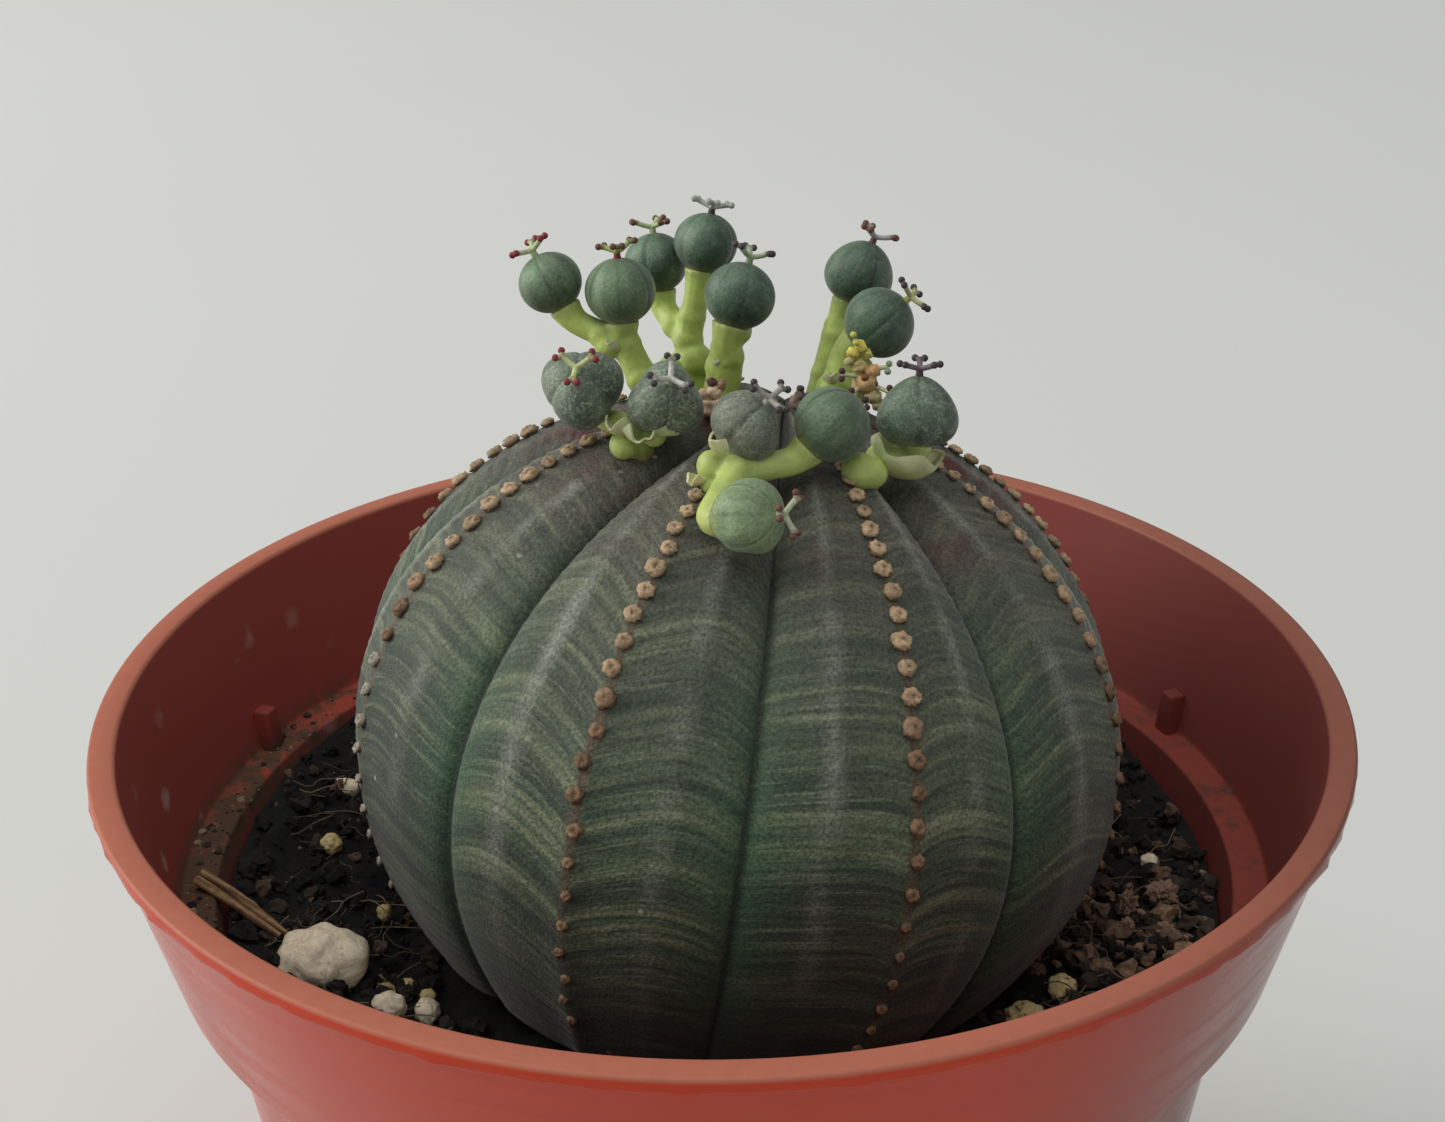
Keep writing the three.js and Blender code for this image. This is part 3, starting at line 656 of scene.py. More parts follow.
# Painted shade: the skin darkens towards the bottom of the ball, down in the pot.
painted_shade_low = between(tree, high, -0.55, 0.2, 0.36, 1.0)
colour = shaded(tree, colour, painted_shade_low)
speck = add(tree, "TexVoronoi", {"Vector": place, "Scale": 420.0}, feature="F1").outputs["Distance"]
sparse = between(tree, noise_of(tree, place, 230, 2), 0.62, 0.68)
specks = times(tree, between(tree, speck, 0.14, 0.08), sparse)
colour = blended(tree, times(tree, specks, 0.8), colour, (0.5, 0.5, 0.45))
tree.links.new(colour, shader.inputs["Base Color"])
relief = plus(tree, narrow, times(tree, felt, 0.7))
bumped(tree, shader, relief, 0.28 * MM, 0.65)
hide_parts("plant_body")
dressed(ball, skin)

# %% [markdown]
# ## Scars down the ridges
#
# Every ridge carries a row of nubs, the scars of old flowers: a button with a raised rim and a pit.
# Six buttons are modelled from spheres, flattened and dished, and then copied down the ridges. They
# are largest on the upper side, small and dark near the soil, and packed close at the crown.

# %% Gathering copies into one piece
def gathered(name, copies):
    """One piece out of many copies: each is (template piece, matrix, colour or colours)."""
    places, faces, colours, count = [], [], [], 0
    for template, matrix, colour in copies:
        start = points_of(template)
        places.append(moved(start, matrix))
        faces.extend([tuple(corner + count for corner in face.vertices)
                      for face in template.data.polygons])
        colours.append(np.broadcast_to(colour, (len(start), 3)))
        count += len(start)
    mesh = bpy.data.meshes.new(name)
    mesh.from_pydata(np.concatenate(places).tolist(), [], faces)
    piece = bpy.data.objects.new(name, mesh)
    bpy.context.scene.collection.objects.link(piece)
    paint(piece, np.concatenate(colours))
    return piece


def facing(place, outward, turn=0.0, size=(1, 1, 1)):
    """A matrix that stands a piece at a place with its +Z outward."""
    rotation = outward.to_track_quat("Z", "Y") @ Quaternion(UP, turn)
    return Matrix.LocRotScale(place, rotation, Vector(size))


def discard(pieces):
    for piece in pieces:
        bpy.data.objects.remove(piece)


def ruffled(piece, depth, grain, seed):
    """Pushes every vertex in or out by a smooth noise."""
    places = points_of(piece)
    middle = places.mean(0)
    shifted = []
    for x, y, z in places:
        push = noise.fractal(Vector((x, y, z)) / grain + Vector((seed, 2 * seed, 0)), 1.0, 2.0, 3)
        outward = Vector((x, y, z)) - Vector(middle)
        shifted.append(Vector((x, y, z)) + outward.normalized() * push * depth)
    set_points(piece, shifted)
    return piece

# %% Scar buttons
def scar_button(seed):
    """A button of 1 across: a lumpy ring round a pit."""
    bpy.ops.mesh.primitive_uv_sphere_add(segments=18, ring_count=11, radius=0.5)
    button = named("scar_button")
    places = points_of(button)
    reach = np.hypot(places[:, 0], places[:, 1])
    dish = 0.24 * np.exp(-(reach / 0.13) ** 2)
    ringed = 0.09 * np.cos(reach / 0.075) * stepped(0.42, 0.3, reach)
    lift = 0.95 * places[:, 2] - dish + ringed
    places[:, 2] = np.where(places[:, 2] > 0, lift, 0.6 * places[:, 2])
    set_points(button, places)
    return ruffled(button, 0.2, 0.13, seed)


buttons = [scar_button(seed) for seed in range(6)]
scar_random = random.Random(7)
scars = []
for ridge in RIDGES:
    climb = -21.0 + scar_random.uniform(-1, 1)
    while climb < 74:
        middle = math.exp(-((climb - 38) / 30) ** 2)
        width = (0.88 + 0.86 * middle) * scar_random.uniform(0.85, 1.12) * MM
        crowded = float(stepped(58, 68, climb))
        place, outward = skin_place(ridge + scar_random.uniform(-0.5, 0.5), climb, 0.42 * MM)
        lean_up = (outward + 0.35 * (PLANT_TURN @ UP)).normalized()
        shape = (width * (1 + 0.3 * crowded), width, width * (0.85 - 0.3 * crowded))
        index = scar_random.randrange(len(buttons))
        spots = points_of(buttons[index])
        pit = np.exp(-(np.hypot(spots[:, 0], spots[:, 1]) / 0.13) ** 2) * (spots[:, 2] > 0)
        # Painted shade: the button's lower side, where it sits on the skin, is darkened; the pit is darker
        # too.
        low = stepped(0.16, -0.05, spots[:, 2])
        tan = np.array((0.44, 0.31, 0.19)) * scar_random.uniform(0.75, 1.2)
        brown = np.array((0.2, 0.12, 0.065)) * scar_random.uniform(0.8, 1.2)
        pale = float(stepped(22, 40, climb))
        rim = brown + pale * (tan - brown)
        if ridge == RIDGES[1] and climb < 20:
            rim = rim + 0.5 * (np.array((0.5, 0.48, 0.42)) - rim)
        dark = np.array((0.06, 0.035, 0.02))
        mixed = np.maximum(pit, 0.6 * low)[:, None]
        scars.append((buttons[index], facing(place, lean_up, scar_random.uniform(0, 6.3), shape),
                      rim + mixed * (dark - rim)))
        climb += math.degrees((3.1 - 1.25 * float(stepped(-20, 75, climb))) * MM / BALL_RADIUS)
scar_rows = gathered("ridge_scars", scars)
discard(buttons)
smooth(scar_rows)

# %% [markdown]
# Dry plant matter shares one finish that multiplies the painted colour by a fine grain.

# %% Dry plant finish
def painted_finish(name, grain_scale, low, high, depth, **sockets):
    """A finish that takes the stored paint, varies it with a grain and bumps it."""
    material, tree, shader = new_finish(name, **sockets)
    place = object_place(tree)
    grain = noise_of(tree, place, grain_scale, 4, 0.65)
    shade = between(tree, grain, 0.3, 0.7, low, high)
    colour = shaded(tree, stored(tree, "paint", "Color"), shade)
    tree.links.new(colour, shader.inputs["Base Color"])
    bumped(tree, shader, grain, depth, 0.7)
    return material


dry = painted_finish("dry_plant", 1600, 0.6, 1.35, 0.1 * MM, Roughness=0.85)
dressed(scar_rows, dry)

# %% [markdown]
# ## Seed capsules
#
# A capsule is three rounded lobes grown together, with a seam between lobes and a fine rib down
# the middle of each. A UV sphere has the right meridians for that: the vertices of a lobe are
# pushed out and those at a seam are drawn in. Each fruit gets its own bulge, and two are dented.
# Its colours are painted on the vertices: dark seams, a pale bloom on the lobes, painted light on the
# side towards the window and a tan foot where it sits on its stalk. How frosted it is with pale flecks
# is stored beside them.

# %% Places of the fruits
# For each fruit: size in capsule widths, the way its top points in the plant's frame, its turn,
# how far its three lobes bulge, and how much narrower its top is than its foot.
FRUITS = {
    "01": (0.95, (-0.6, 0.1, 0.8), 90, 0.03, 0.0),
    "02": (1.05, (-0.2, 0.05, 1), 30, 0.025, 0.0),
    "03": (0.98, (-0.25, 0.1, 1), 70, 0.03, 0.0),
    "04": (0.96, (0.05, 0.1, 1), 35, 0.035, 0.0),
    "05": (1.04, (0.15, 0.1, 1), 95, 0.03, 0.0),
    "06": (1.04, (0.3, 0.1, 1), 110, 0.04, 0.12),
    "07": (1.05, (0.65, -0.1, 0.75), 80, 0.03, 0.0),
    "08": (1.12, (-0.18, -0.75, 0.65), 270, 0.1, 0.0),
    "09": (1.03, (0.04, -0.7, 0.7), 95, 0.11, 0.12),
    "10": (1.0, (0.36, -0.46, 0.82), 60, 0.09, 0.0),
    "11": (1.06, (0.6, 0.1, 0.8), 20, 0.03, 0.0),
    "12": (1.06, (-0.1, 0.1, 1), 85, 0.12, 0.24),
    "13": (1.02, (0.75, -0.55, 0.35), 100, 0.045, 0.0),
}


def fruit_middle(key):
    low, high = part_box(f"capsule_{key}")
    return (low + high) / 2


def fruit_axis(key):
    return (PLANT_TURN @ Vector(FRUITS[key][1])).normalized()


def fruit_turned(key):
    """The fruit's frame: its middle, its axis and its turn."""
    pointing = UP.rotation_difference(Vector(FRUITS[key][1]).normalized())
    rotation = PLANT_TURN.to_quaternion() @ pointing @ Quaternion(UP, math.radians(FRUITS[key][2]))
    return Matrix.LocRotScale(fruit_middle(key), rotation, None)

# %% Capsules
CAPSULE_FLATTENING = 0.94
DARK_FRUIT = np.array((0.014, 0.042, 0.024))
BLOOM_AND_PAINTED_LIGHT = np.array((0.085, 0.155, 0.09))
TAN_FOOT = np.array((0.28, 0.24, 0.08))
PALE_FRUIT = np.array((0.2, 0.29, 0.14))
GREY_FRUIT = np.array((0.15, 0.15, 0.115))
YELLOW_SIDE = np.array((0.34, 0.36, 0.08))
LOOK = {"01": (PALE_FRUIT, 0.25), "02": (PALE_FRUIT, 0.3), "08": (GREY_FRUIT, 0.35), "09": (GREY_FRUIT, 0.4),
        "10": (GREY_FRUIT, 0.7), "11": (PALE_FRUIT, 0.18), "12": (GREY_FRUIT, 0.15), "13": (PALE_FRUIT, 0.8)}
FROST = {"08": 1.0, "09": 1.0, "10": 0.5, "12": 0.5, "13": 0.3}


def capsule(key):
    size, _, _, bulge, narrowing = FRUITS[key]
    radius = size * CAPSULE / 2
    bpy.ops.mesh.primitive_uv_sphere_add(segments=72, ring_count=36, radius=1)
    piece = named(f"fruit_{key}")
    unit = points_of(piece)
    around = np.arctan2(unit[:, 1], unit[:, 0])
    level = np.cos(np.arcsin(np.clip(unit[:, 2], -1, 1)))
    from_seam = np.abs(np.mod(around + math.radians(60), math.radians(120)) - math.radians(60))
    from_seam = np.abs(from_seam - math.radians(60))
    from_rib = math.radians(60) - from_seam
    cleft = np.exp(-(from_seam / 0.09) ** 2) * level ** 0.6
    reach = 1 + bulge * np.cos(3 * around) * level ** 1.5 - (0.035 + 0.12 * bulge) * cleft
    local = radius * unit * reach[:, None]
    local[:, :2] *= (1 - narrowing * unit[:, 2])[:, None]
    local[:, 2] *= CAPSULE_FLATTENING
    if key == "10":
        local *= 1 - 0.2 * np.exp(-((unit[:, 0] - 0.55) ** 2 + (unit[:, 1] + 0.75) ** 2) / 0.2)[:, None]
    if key == "13":
        local *= 1 - 0.12 * np.exp(-((unit[:, 0] + 0.7) ** 2 + (unit[:, 2] + 0.1) ** 2) / 0.1)[:, None]
    frame_of = fruit_turned(key)
    turned = np.array(frame_of.to_3x3())
    set_points(piece, moved(local, frame_of))

    lines = np.exp(-(from_seam / 0.055) ** 2) + 0.55 * np.exp(-(from_rib / 0.035) ** 2)
    lines *= level ** 0.5 * stepped(-0.95, 0.1, unit[:, 2])
    tint, amount = LOOK.get(key, (BLOOM_AND_PAINTED_LIGHT, 0.0))
    base = DARK_FRUIT + amount * (tint - DARK_FRUIT)
    bloom_and_painted_light = BLOOM_AND_PAINTED_LIGHT + amount * (1.3 * tint - BLOOM_AND_PAINTED_LIGHT)
    light = 0.5 + 0.5 * np.sin(2.0 * around + 3 * unit[:, 2])
    # Painted light: the side of each fruit towards the window is turned towards the pale colour.
    painted_light_left = unit @ turned.T @ np.array((-0.85, -0.2, 0.5))
    colours = base + (0.08 + 0.25 * light + 0.8 * stepped(-0.1, 1.0, painted_light_left))[:, None] * (bloom_and_painted_light - base)
    colours = colours * (1 - 0.5 * np.clip(lines, 0, 1))[:, None]
    foot = (0.85 * stepped(-0.8, -0.97, unit[:, 2]))[:, None]
    colours = colours + foot * (TAN_FOOT - colours)
    if key in ("11", "13"):
        leftward = unit @ turned.T @ np.array((-0.8, 0.0, -0.6 if key == "11" else 0.1))
        colours = colours + (0.75 * stepped(0.55, 0.95, leftward))[:, None] * (YELLOW_SIDE - colours)
    paint(piece, colours)
    store_places(piece, "frost", np.full((len(unit), 3), FROST.get(key, 0.12)))
    meridian = np.stack([3 * np.cos(around) + int(key), 3 * np.sin(around), 0.7 * unit[:, 2]], 1)
    store_places(piece, "meridian", meridian)
    return smooth(piece)


capsule_skin, tree, shader = new_finish("capsule_skin", Roughness=0.44, Sheen_Weight=0.15)
place = object_place(tree)
mottle = noise_of(tree, place, 900, 5, 0.65)
flecks = noise_of(tree, place, 3800, 3, 0.6)
streaks = noise_of(tree, stored(tree, "meridian"), 0.9, 4, 0.6)
colour = stored(tree, "paint", "Color")
frost = axis_of(tree, stored(tree, "frost"), "X")
colour = blended(tree, between(tree, mottle, 0.45, 0.75, 0.0, 0.4), colour, (0.15, 0.21, 0.14))
colour = shaded(tree, colour, between(tree, streaks, 0.3, 0.7, 0.66, 1.3))
colour = shaded(tree, colour, between(tree, flecks, 0.3, 0.7, 0.75, 1.25))
rimed = times(tree, between(tree, flecks, 0.46, 0.6), between(tree, mottle, 0.4, 0.58))
colour = blended(tree, times(tree, rimed, times(tree, frost, 0.7)), colour, (0.34, 0.4, 0.3))
tree.links.new(colour, shader.inputs["Base Color"])
bumped(tree, shader, flecks, 0.1 * MM, 0.7)
for key in FRUITS:
    fruit = capsule(key)
    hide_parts(f"capsule_{key}")
    dressed(fruit, capsule_skin)

# %% [markdown]
# ## Dry styles
#
# On all capsules but one stands what is left of the flower: a short column and three arms, each
# split at its end into two knobs. They are thin branching rods, so each rod is a curve with a
# round section that is turned into a mesh, and the knobs are small spheres at the ends.

# %% Rods
def rod(name, points, radii, sides=3, steps=4):
    """A round rod through points, with a radius at each, made as a curve and turned into a mesh."""
    bpy.ops.curve.primitive_nurbs_path_add()
    piece = bpy.context.active_object
    curve = piece.data
    curve.splines.clear()
    spline = curve.splines.new("NURBS")
    spline.points.add(len(points) - 1)
    for point, place, radius in zip(spline.points, points, radii):
        point.co = (*place, 1)
        point.radius = radius / MM
    spline.use_endpoint_u = True
    spline.order_u = min(3, len(points))
    curve.dimensions = "3D"
    curve.resolution_u = steps
    curve.bevel_mode = "ROUND"
    curve.bevel_depth = MM
    curve.bevel_resolution = sides
    curve.use_fill_caps = True
    only(piece)
    bpy.ops.object.convert(target="MESH")
    return named(name)


def pellet(name, place, radius, subdivisions=2):
    bpy.ops.mesh.primitive_ico_sphere_add(subdivisions=subdivisions, radius=radius, location=place)
    return named(name)

# %% Styles
# The colours of each style: its column, its arms and its tips.
PALE, YELLOW, GREY = (0.42, 0.5, 0.27), (0.45, 0.42, 0.14), (0.35, 0.37, 0.33)
DARK, RED, BROWN = (0.05, 0.035, 0.04), (0.22, 0.02, 0.03), (0.13, 0.055, 0.035)
STYLES = {
    "01": (PALE, PALE, RED), "02": (RED, (0.3, 0.36, 0.12), BROWN), "03": (PALE, PALE, BROWN),
    "04": (DARK, GREY, GREY), "05": ((0.2, 0.3, 0.14), (0.3, 0.36, 0.22), DARK),
    "06": (BROWN, GREY, BROWN), "07": (YELLOW, (0.4, 0.42, 0.2), DARK),
    "08": (PALE, (0.5, 0.55, 0.26), RED), "09": (GREY, (0.5, 0.5, 0.45), DARK),
    "10": (GREY, (0.33, 0.31, 0.28), DARK), "12": (DARK, (0.14, 0.11, 0.13), DARK),
    "13": (PALE, (0.42, 0.46, 0.3), BROWN),
}


def dry_style(key):
    column_colour, arm_colour, tip_colour = (np.array(c) for c in STYLES[key])
    foot = FRUITS[key][0] * CAPSULE / 2 * CAPSULE_FLATTENING - 0.25 * MM
    thickness = 0.27 * MM
    style_random = random.Random(int(key))
    top = foot + 0.95 * MM
    column = [Vector((0, 0, foot)), Vector((0, 0, top))]
    parts = [(rod("rod", column, [1.5 * thickness, thickness]), column_colour)]
    for arm in range(3):
        turn = 120 * arm + style_random.uniform(-8, 8)
        rise = style_random.uniform(0.15, 0.45)
        elbow = polar(0.85 * MM, turn, top + 0.1 * MM)
        wrist = polar(1.45 * MM, turn, top + 1.45 * MM * rise)
        root = Vector((0, 0, top - 0.1 * MM))
        parts.append((rod("rod", [root, elbow, wrist], [thickness, 0.85 * thickness, thickness]),
                      arm_colour))
        for side in (-1, 1):
            knob = polar(1.9 * MM, turn + 13 * side, wrist.z + 0.1 * MM)
            parts.append((rod("rod", [wrist, knob], [thickness, 0.8 * thickness]),
                          0.5 * (arm_colour + tip_colour)))
            parts.append((pellet("knob", knob, 0.33 * MM), tip_colour))
    piece = grouped(parts, f"dry_style_{key}")
    set_points(piece, moved(points_of(piece), fruit_turned(key)))
    return smooth(piece, 70)


style_finish = painted_finish("dry_style", 2200, 0.75, 1.25, 0.05 * MM, Roughness=0.6)
for key in STYLES:
    style = dry_style(key)
    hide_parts(f"style_{key}")
    dressed(style, style_finish)

# %% [markdown]
# ## Fleshy stalks
#
# Each stalk grows out of the crown, forks, and swells into a cup under every fruit. Rods and balls
# give its limbs, and a voxel remesh then grows them into one skin with soft crotches, which a few
# rounds of smoothing relax. The paper-thin bracts would be lost in that, so each is a small grid
# that is curled and frilled, given its thickness and joined on afterwards.

# %% Stalk limbs
# Each stalk: where it leaves the crown, where it forks, the fruits it carries, its swellings
# (place and radius in millimetres) and how thick it is.
STALKS = {
    "stalk_back_left": ((-1.9, 0.55, -0.2), (-2.1, 0.6, 0.82), ("01", "02"),
                        (((-2.0, 0.58, 0.3), 1.75), ((-2.3, 0.6, 0.9), 1.5)), 1.3),
    "stalk_back_middle": ((-1.3, 1.35, -0.2), (-1.32, 1.36, 0.68), ("03", "04"),
                          (((-1.25, 1.3, 0.35), 1.9), ((-1.6, 1.3, 0.3), 1.4)), 1.35),
    "stalk_back_centre": ((-0.95, 0.45, -0.2), (-0.84, 0.36, 0.5), ("05",),
                          (((-0.9, 0.4, 0.35), 1.8), ((-0.7, 0.38, 0.9), 1.5)), 1.5),
    "stalk_back_right": ((0.6, 1, -0.2), (0.6, 0.98, 0.9), ("06",), (((0.6, 1.0, 0.3), 1.5),), 1.15),
    "stalk_right": ((0.68, 0.12, -0.2), (0.7, 0.1, 0.4), ("07",),
                    (((0.66, 0.12, 0.25), 1.7), ((0.95, 0.15, 0.65), 1.3)), 1.3),
    "stalk_front_left": ((-2.08, -1.4, -0.3), (-2.05, -1.36, 0.16), ("08", "09"),
                         (((-2.22, -1.5, 0.1), 1.4), ((-1.8, -1.55, 0.2), 1.25)), 1.15),
    "stalk_front": ((-0.85, -2.5, -0.3), (-0.68, -2.52, 0.22), ("10", "11", "13"),
                    (((-1.0, -2.4, 0.22), 1.5), ((-0.98, -2.55, -0.02), 1.35),
                     ((-0.2, -2.4, 0.22), 1.1)), 1.35),
    "stalk_front_right": ((1.15, -1.85, -0.3), (1.27, -1.65, 0.15), ("12",),
                          (((0.98, -2.05, 0.12), 1.75), ((1.16, -2.0, 0.12), 1.5)), 1.2),
}
# Bracts on each stalk: foot, the way it grows (in the plant's frame), length and width in
# millimetres, and how frilled.
BRACTS = {
    "stalk_front_left": (
        ((-2.2, -1.5, 0.25), (-0.6, -0.7, 0.2), 2.2, 3.0, 1.0),
        ((-2.0, -1.58, 0.2), (0.1, -1, -0.1), 2.4, 3.4, 1.2),
        ((-1.85, -1.6, 0.25), (0.9, -0.5, 0.1), 2.8, 2.8, 1.0),
        ((-1.8, -1.5, 0.35), (0.9, -0.2, 0.5), 2.2, 2.4, 0.8),
    ),
    "stalk_front": (
        ((-1.08, -2.45, 0.0), (-0.7, -0.5, -0.3), 1.8, 2.2, 0.9),
        ((-0.9, -2.5, 0.5), (-0.6, -0.6, 0.6), 1.8, 2.4, 0.8),
    ),
    "stalk_back_left": (((-2.25, 0.5, 0.75), (-0.8, -0.6, 0.5), 1.6, 1.8, 0.6),),
    "stalk_back_centre": (((-0.95, 0.3, 0.3), (-0.5, -0.8, 0.6), 1.6, 1.8, 0.6),),
    "stalk_right": (((0.62, 0.0, 0.3), (-0.4, -0.8, 0.7), 1.7, 1.8, 0.6),),
}
STALK_VOXEL = 0.2 * MM


def stalk_limbs(base, fork, carried, swellings, thickness):
    foot, crotch = perch(*base), perch(*fork)
    stalk_radius = thickness * MM
    limbs = [rod("limb", [foot, (foot + crotch) / 2, crotch],
                 [1.3 * stalk_radius, 1.15 * stalk_radius, 1.1 * stalk_radius]),
             pellet("joint", crotch, 1.2 * stalk_radius)]
    limbs += [pellet("swelling", perch(*place), radius * MM) for place, radius in swellings]
    for key in carried:
        axis = fruit_axis(key)
        radius = FRUITS[key][0] * CAPSULE / 2 * CAPSULE_FLATTENING
        cup = fruit_middle(key) - axis * 0.9 * radius
        neck = cup - axis * 1.6 * MM
        limbs.append(rod("limb", [crotch, neck.lerp(crotch, 0.4), neck, cup],
                         [stalk_radius, 0.95 * stalk_radius, 0.95 * stalk_radius, 1.3 * stalk_radius]))
        bulge = neck.lerp(crotch, 0.55)
        limbs.append(pellet("bulge", bulge - axis.cross(UP) * 0.35 * MM, 1.1 * stalk_radius))
    return limbs


def grown(name, limbs):
    """Grows limbs into one skin."""
    piece = joined(limbs, name)
    modified(piece, "REMESH", mode="VOXEL", voxel_size=STALK_VOXEL)
    modified(piece, "SMOOTH", factor=0.5, iterations=6)
    return piece


def bract(foot, way, length, width, frill, seed):
    """A curled, frilled little leaf that grows from a foot."""
    bpy.ops.mesh.primitive_grid_add(x_subdivisions=12, y_subdivisions=9, size=1)
    piece = named("bract")
    flat = points_of(piece)
    along, side = flat[:, 1] + 0.5, 2 * flat[:, 0]
    half = 0.5 * width * (0.45 + 0.55 * stepped(0, 0.6, along)) * (1 - 0.35 * along ** 3)
    wave = frill * 0.1 * length * np.sin(4.5 * side + 2.3 * seed) * along ** 1.5
    ragged = 1 - 0.3 * side ** 4 + 0.06 * frill * np.sin(7 * side + seed)
    rise = 0.28 * width * side ** 2 * (0.4 + along) + 0.25 * length * along ** 2 + wave
    local = np.stack([side * half, length * along * ragged, rise], 1) * MM
    outward = (PLANT_TURN @ Vector(way)).normalized()
    level = outward.cross(PLANT_TURN @ UP).normalized()
    frame_of = Matrix((level, outward, level.cross(outward))).transposed()
    set_points(piece, local @ np.array(frame_of).T + np.array(perch(*foot)))
    modified(piece, "SOLIDIFY", thickness=0.2 * MM, offset=0)
    share = stepped(0, length * MM, np.linalg.norm(points_of(piece) - np.array(perch(*foot)), axis=1))
    paint(piece, CREAM + (0.7 * share)[:, None] * (np.array((0.56, 0.58, 0.38)) - CREAM))
    return piece


YELLOW_GREEN = np.array((0.48, 0.6, 0.15))
BASE_OLIVE = np.array((0.28, 0.38, 0.07))
CREAM = np.array((0.42, 0.49, 0.17))
HAIRY = np.array((0.14, 0.055, 0.03))


# A pale bowl of grown-together bracts under one fruit: the fruit, the shift of the bowl's middle
# from the fruit's in millimetres right, back and up, and its radius and depth.
BOWLS = {"stalk_front_right": ("12", (-0.9, -0.5, -3.2), 3.3, 2.9)}


def bowl(key, shift, mouth, depth):
    """A thin bowl: a sphere whose upper half is folded down inside its lower half."""
    bpy.ops.mesh.primitive_uv_sphere_add(segments=48, ring_count=32, radius=1)
    piece = named("bowl")
    unit = points_of(piece)
    around = np.arctan2(unit[:, 1], unit[:, 0])
    folded = unit[:, 2] > 0.02
    unit[folded] *= (0.9, 0.9, -0.86)
    wave = 1 + 0.07 * np.sin(3 * around + 1) + 0.03 * np.sin(8 * around)
    rim = 0.16 * np.sin(4 * around + 0.5) * stepped(-0.6, 0.0, unit[:, 2])
    local = np.stack([mouth * unit[:, 0] * wave, mouth * unit[:, 1] * wave, depth * (unit[:, 2] + rim)], 1)
    turned = np.array((PLANT_TURN.to_quaternion() @ Quaternion((0, 1, 0), 0.2)).to_matrix())
    middle = np.array(fruit_middle(key) + Vector(shift) * MM)
    set_points(piece, local * MM @ turned.T + middle)
    share = stepped(-0.9, 0.0, unit[:, 2])[:, None]
    paint(piece, CREAM + share * (np.array((0.56, 0.62, 0.36)) - CREAM))
    return piece


def stalk(name):
    base, fork, carried, swellings, thickness = STALKS[name]
    piece = grown(f"fleshy_{name}", stalk_limbs(base, fork, carried, swellings, thickness))
    places = points_of(piece)
    foot = np.array(perch(*base))
    reach = np.linalg.norm(places - foot, axis=1) / MM
    cups = np.min([np.linalg.norm(places - np.array(fruit_middle(key)), axis=1)
                   / (FRUITS[key][0] * CAPSULE / 2) for key in carried], axis=0)
    lumps = np.array([noise.noise(Vector(p) / (1.6 * MM)) for p in places])
    # The stalk is painted darker olive towards its foot on the crown and paler towards the fruits.
    paleness = 0.15 + reach / 9 + 0.5 * lumps + 0.35 * ("front" in name)
    share = np.clip(paleness, 0, 1)[:, None]
    fleshy_tone = CREAM if "front" in name else YELLOW_GREEN
    colours = BASE_OLIVE + share * (0.5 * YELLOW_GREEN + 0.5 * fleshy_tone - BASE_OLIVE)
    near = stepped(1.32, 1.05, cups)[:, None]
    colours = colours + 0.8 * near * (CREAM - colours)
    hairy = (stepped(2.6, 1.4, reach) * stepped(-0.1, 0.2, lumps) * ("front" in name))[:, None]
    colours = colours + 0.8 * hairy * (HAIRY - colours)
    paint(piece, colours)
    leaves = [bract(*leaf, seed) for seed, leaf in enumerate(BRACTS.get(name, ()))]
    if name in BOWLS:
        leaves.append(bowl(*BOWLS[name]))
    return smooth(joined([piece] + leaves, piece.name), 60)


fleshy = painted_finish("fleshy_stalk", 500, 0.8, 1.2, 0.08 * MM, Roughness=0.45, Subsurface_Weight=0.25,
                        Subsurface_Scale=1.2 * MM)
for name in STALKS:
    stem = stalk(name)
    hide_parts(name)
    dressed(stem, fleshy)

# %% [markdown]
# ## Soil
#
# The soil is poured into the cup and settles round the plant. Its body is an outline spun like the
# pot's, and its surface is then roughened in code with a lumpy noise. Crumbs and fibres lie on
# it. They repeat hundreds of times, so a crumb has few faces and each is a turned and scaled copy.

# %% Soil body
SOIL_LEVEL = 76 * MM
NECK = 32.2 * MM
BED = cup_radius(SOIL_LEVEL) - 0.3 * MM


def soil_height(x, y):
    distance = math.hypot(x, y)
    dip = 1 - float(stepped(NECK, NECK + 10 * MM, distance))
    rough = 0.35 * MM * math.sin(x / (3.1 * MM)) * math.cos(y / (3.7 * MM))
    leftward = float(stepped(-0.1, 0.8, -x / max(distance, MM)))
    bank = (1.2 + 2.2 * leftward) * MM * float(stepped(BED - 7 * MM, BED, distance))
    return SOIL_LEVEL + 3 * MM * max(0, y) / BED - 4 * MM * dip + rough + bank


surface = [(BED * (1 - step / 50), SOIL_LEVEL) for step in range(51)]
low_wall = FLOOR_TOP + 0.3 * MM
soil = outline("potting_soil", [(0, low_wall), (cup_radius(low_wall) - 0.3 * MM, low_wall), *surface])
spun(soil, 180)
settled = []
for place in points_of(soil):
    x, y, z = place
    if z > SOIL_LEVEL - MM:
        lump = noise.fractal(Vector((x, y, 0)) / (3.2 * MM), 0.9, 2.0, 4)
        edge = float(stepped(BED, BED - 2 * MM, math.hypot(x, y)))
        z = soil_height(x, y) + edge * (1.3 * lump - 0.3) * MM
    settled.append((x, y, z))
set_points(soil, settled)
smooth(soil, 60)

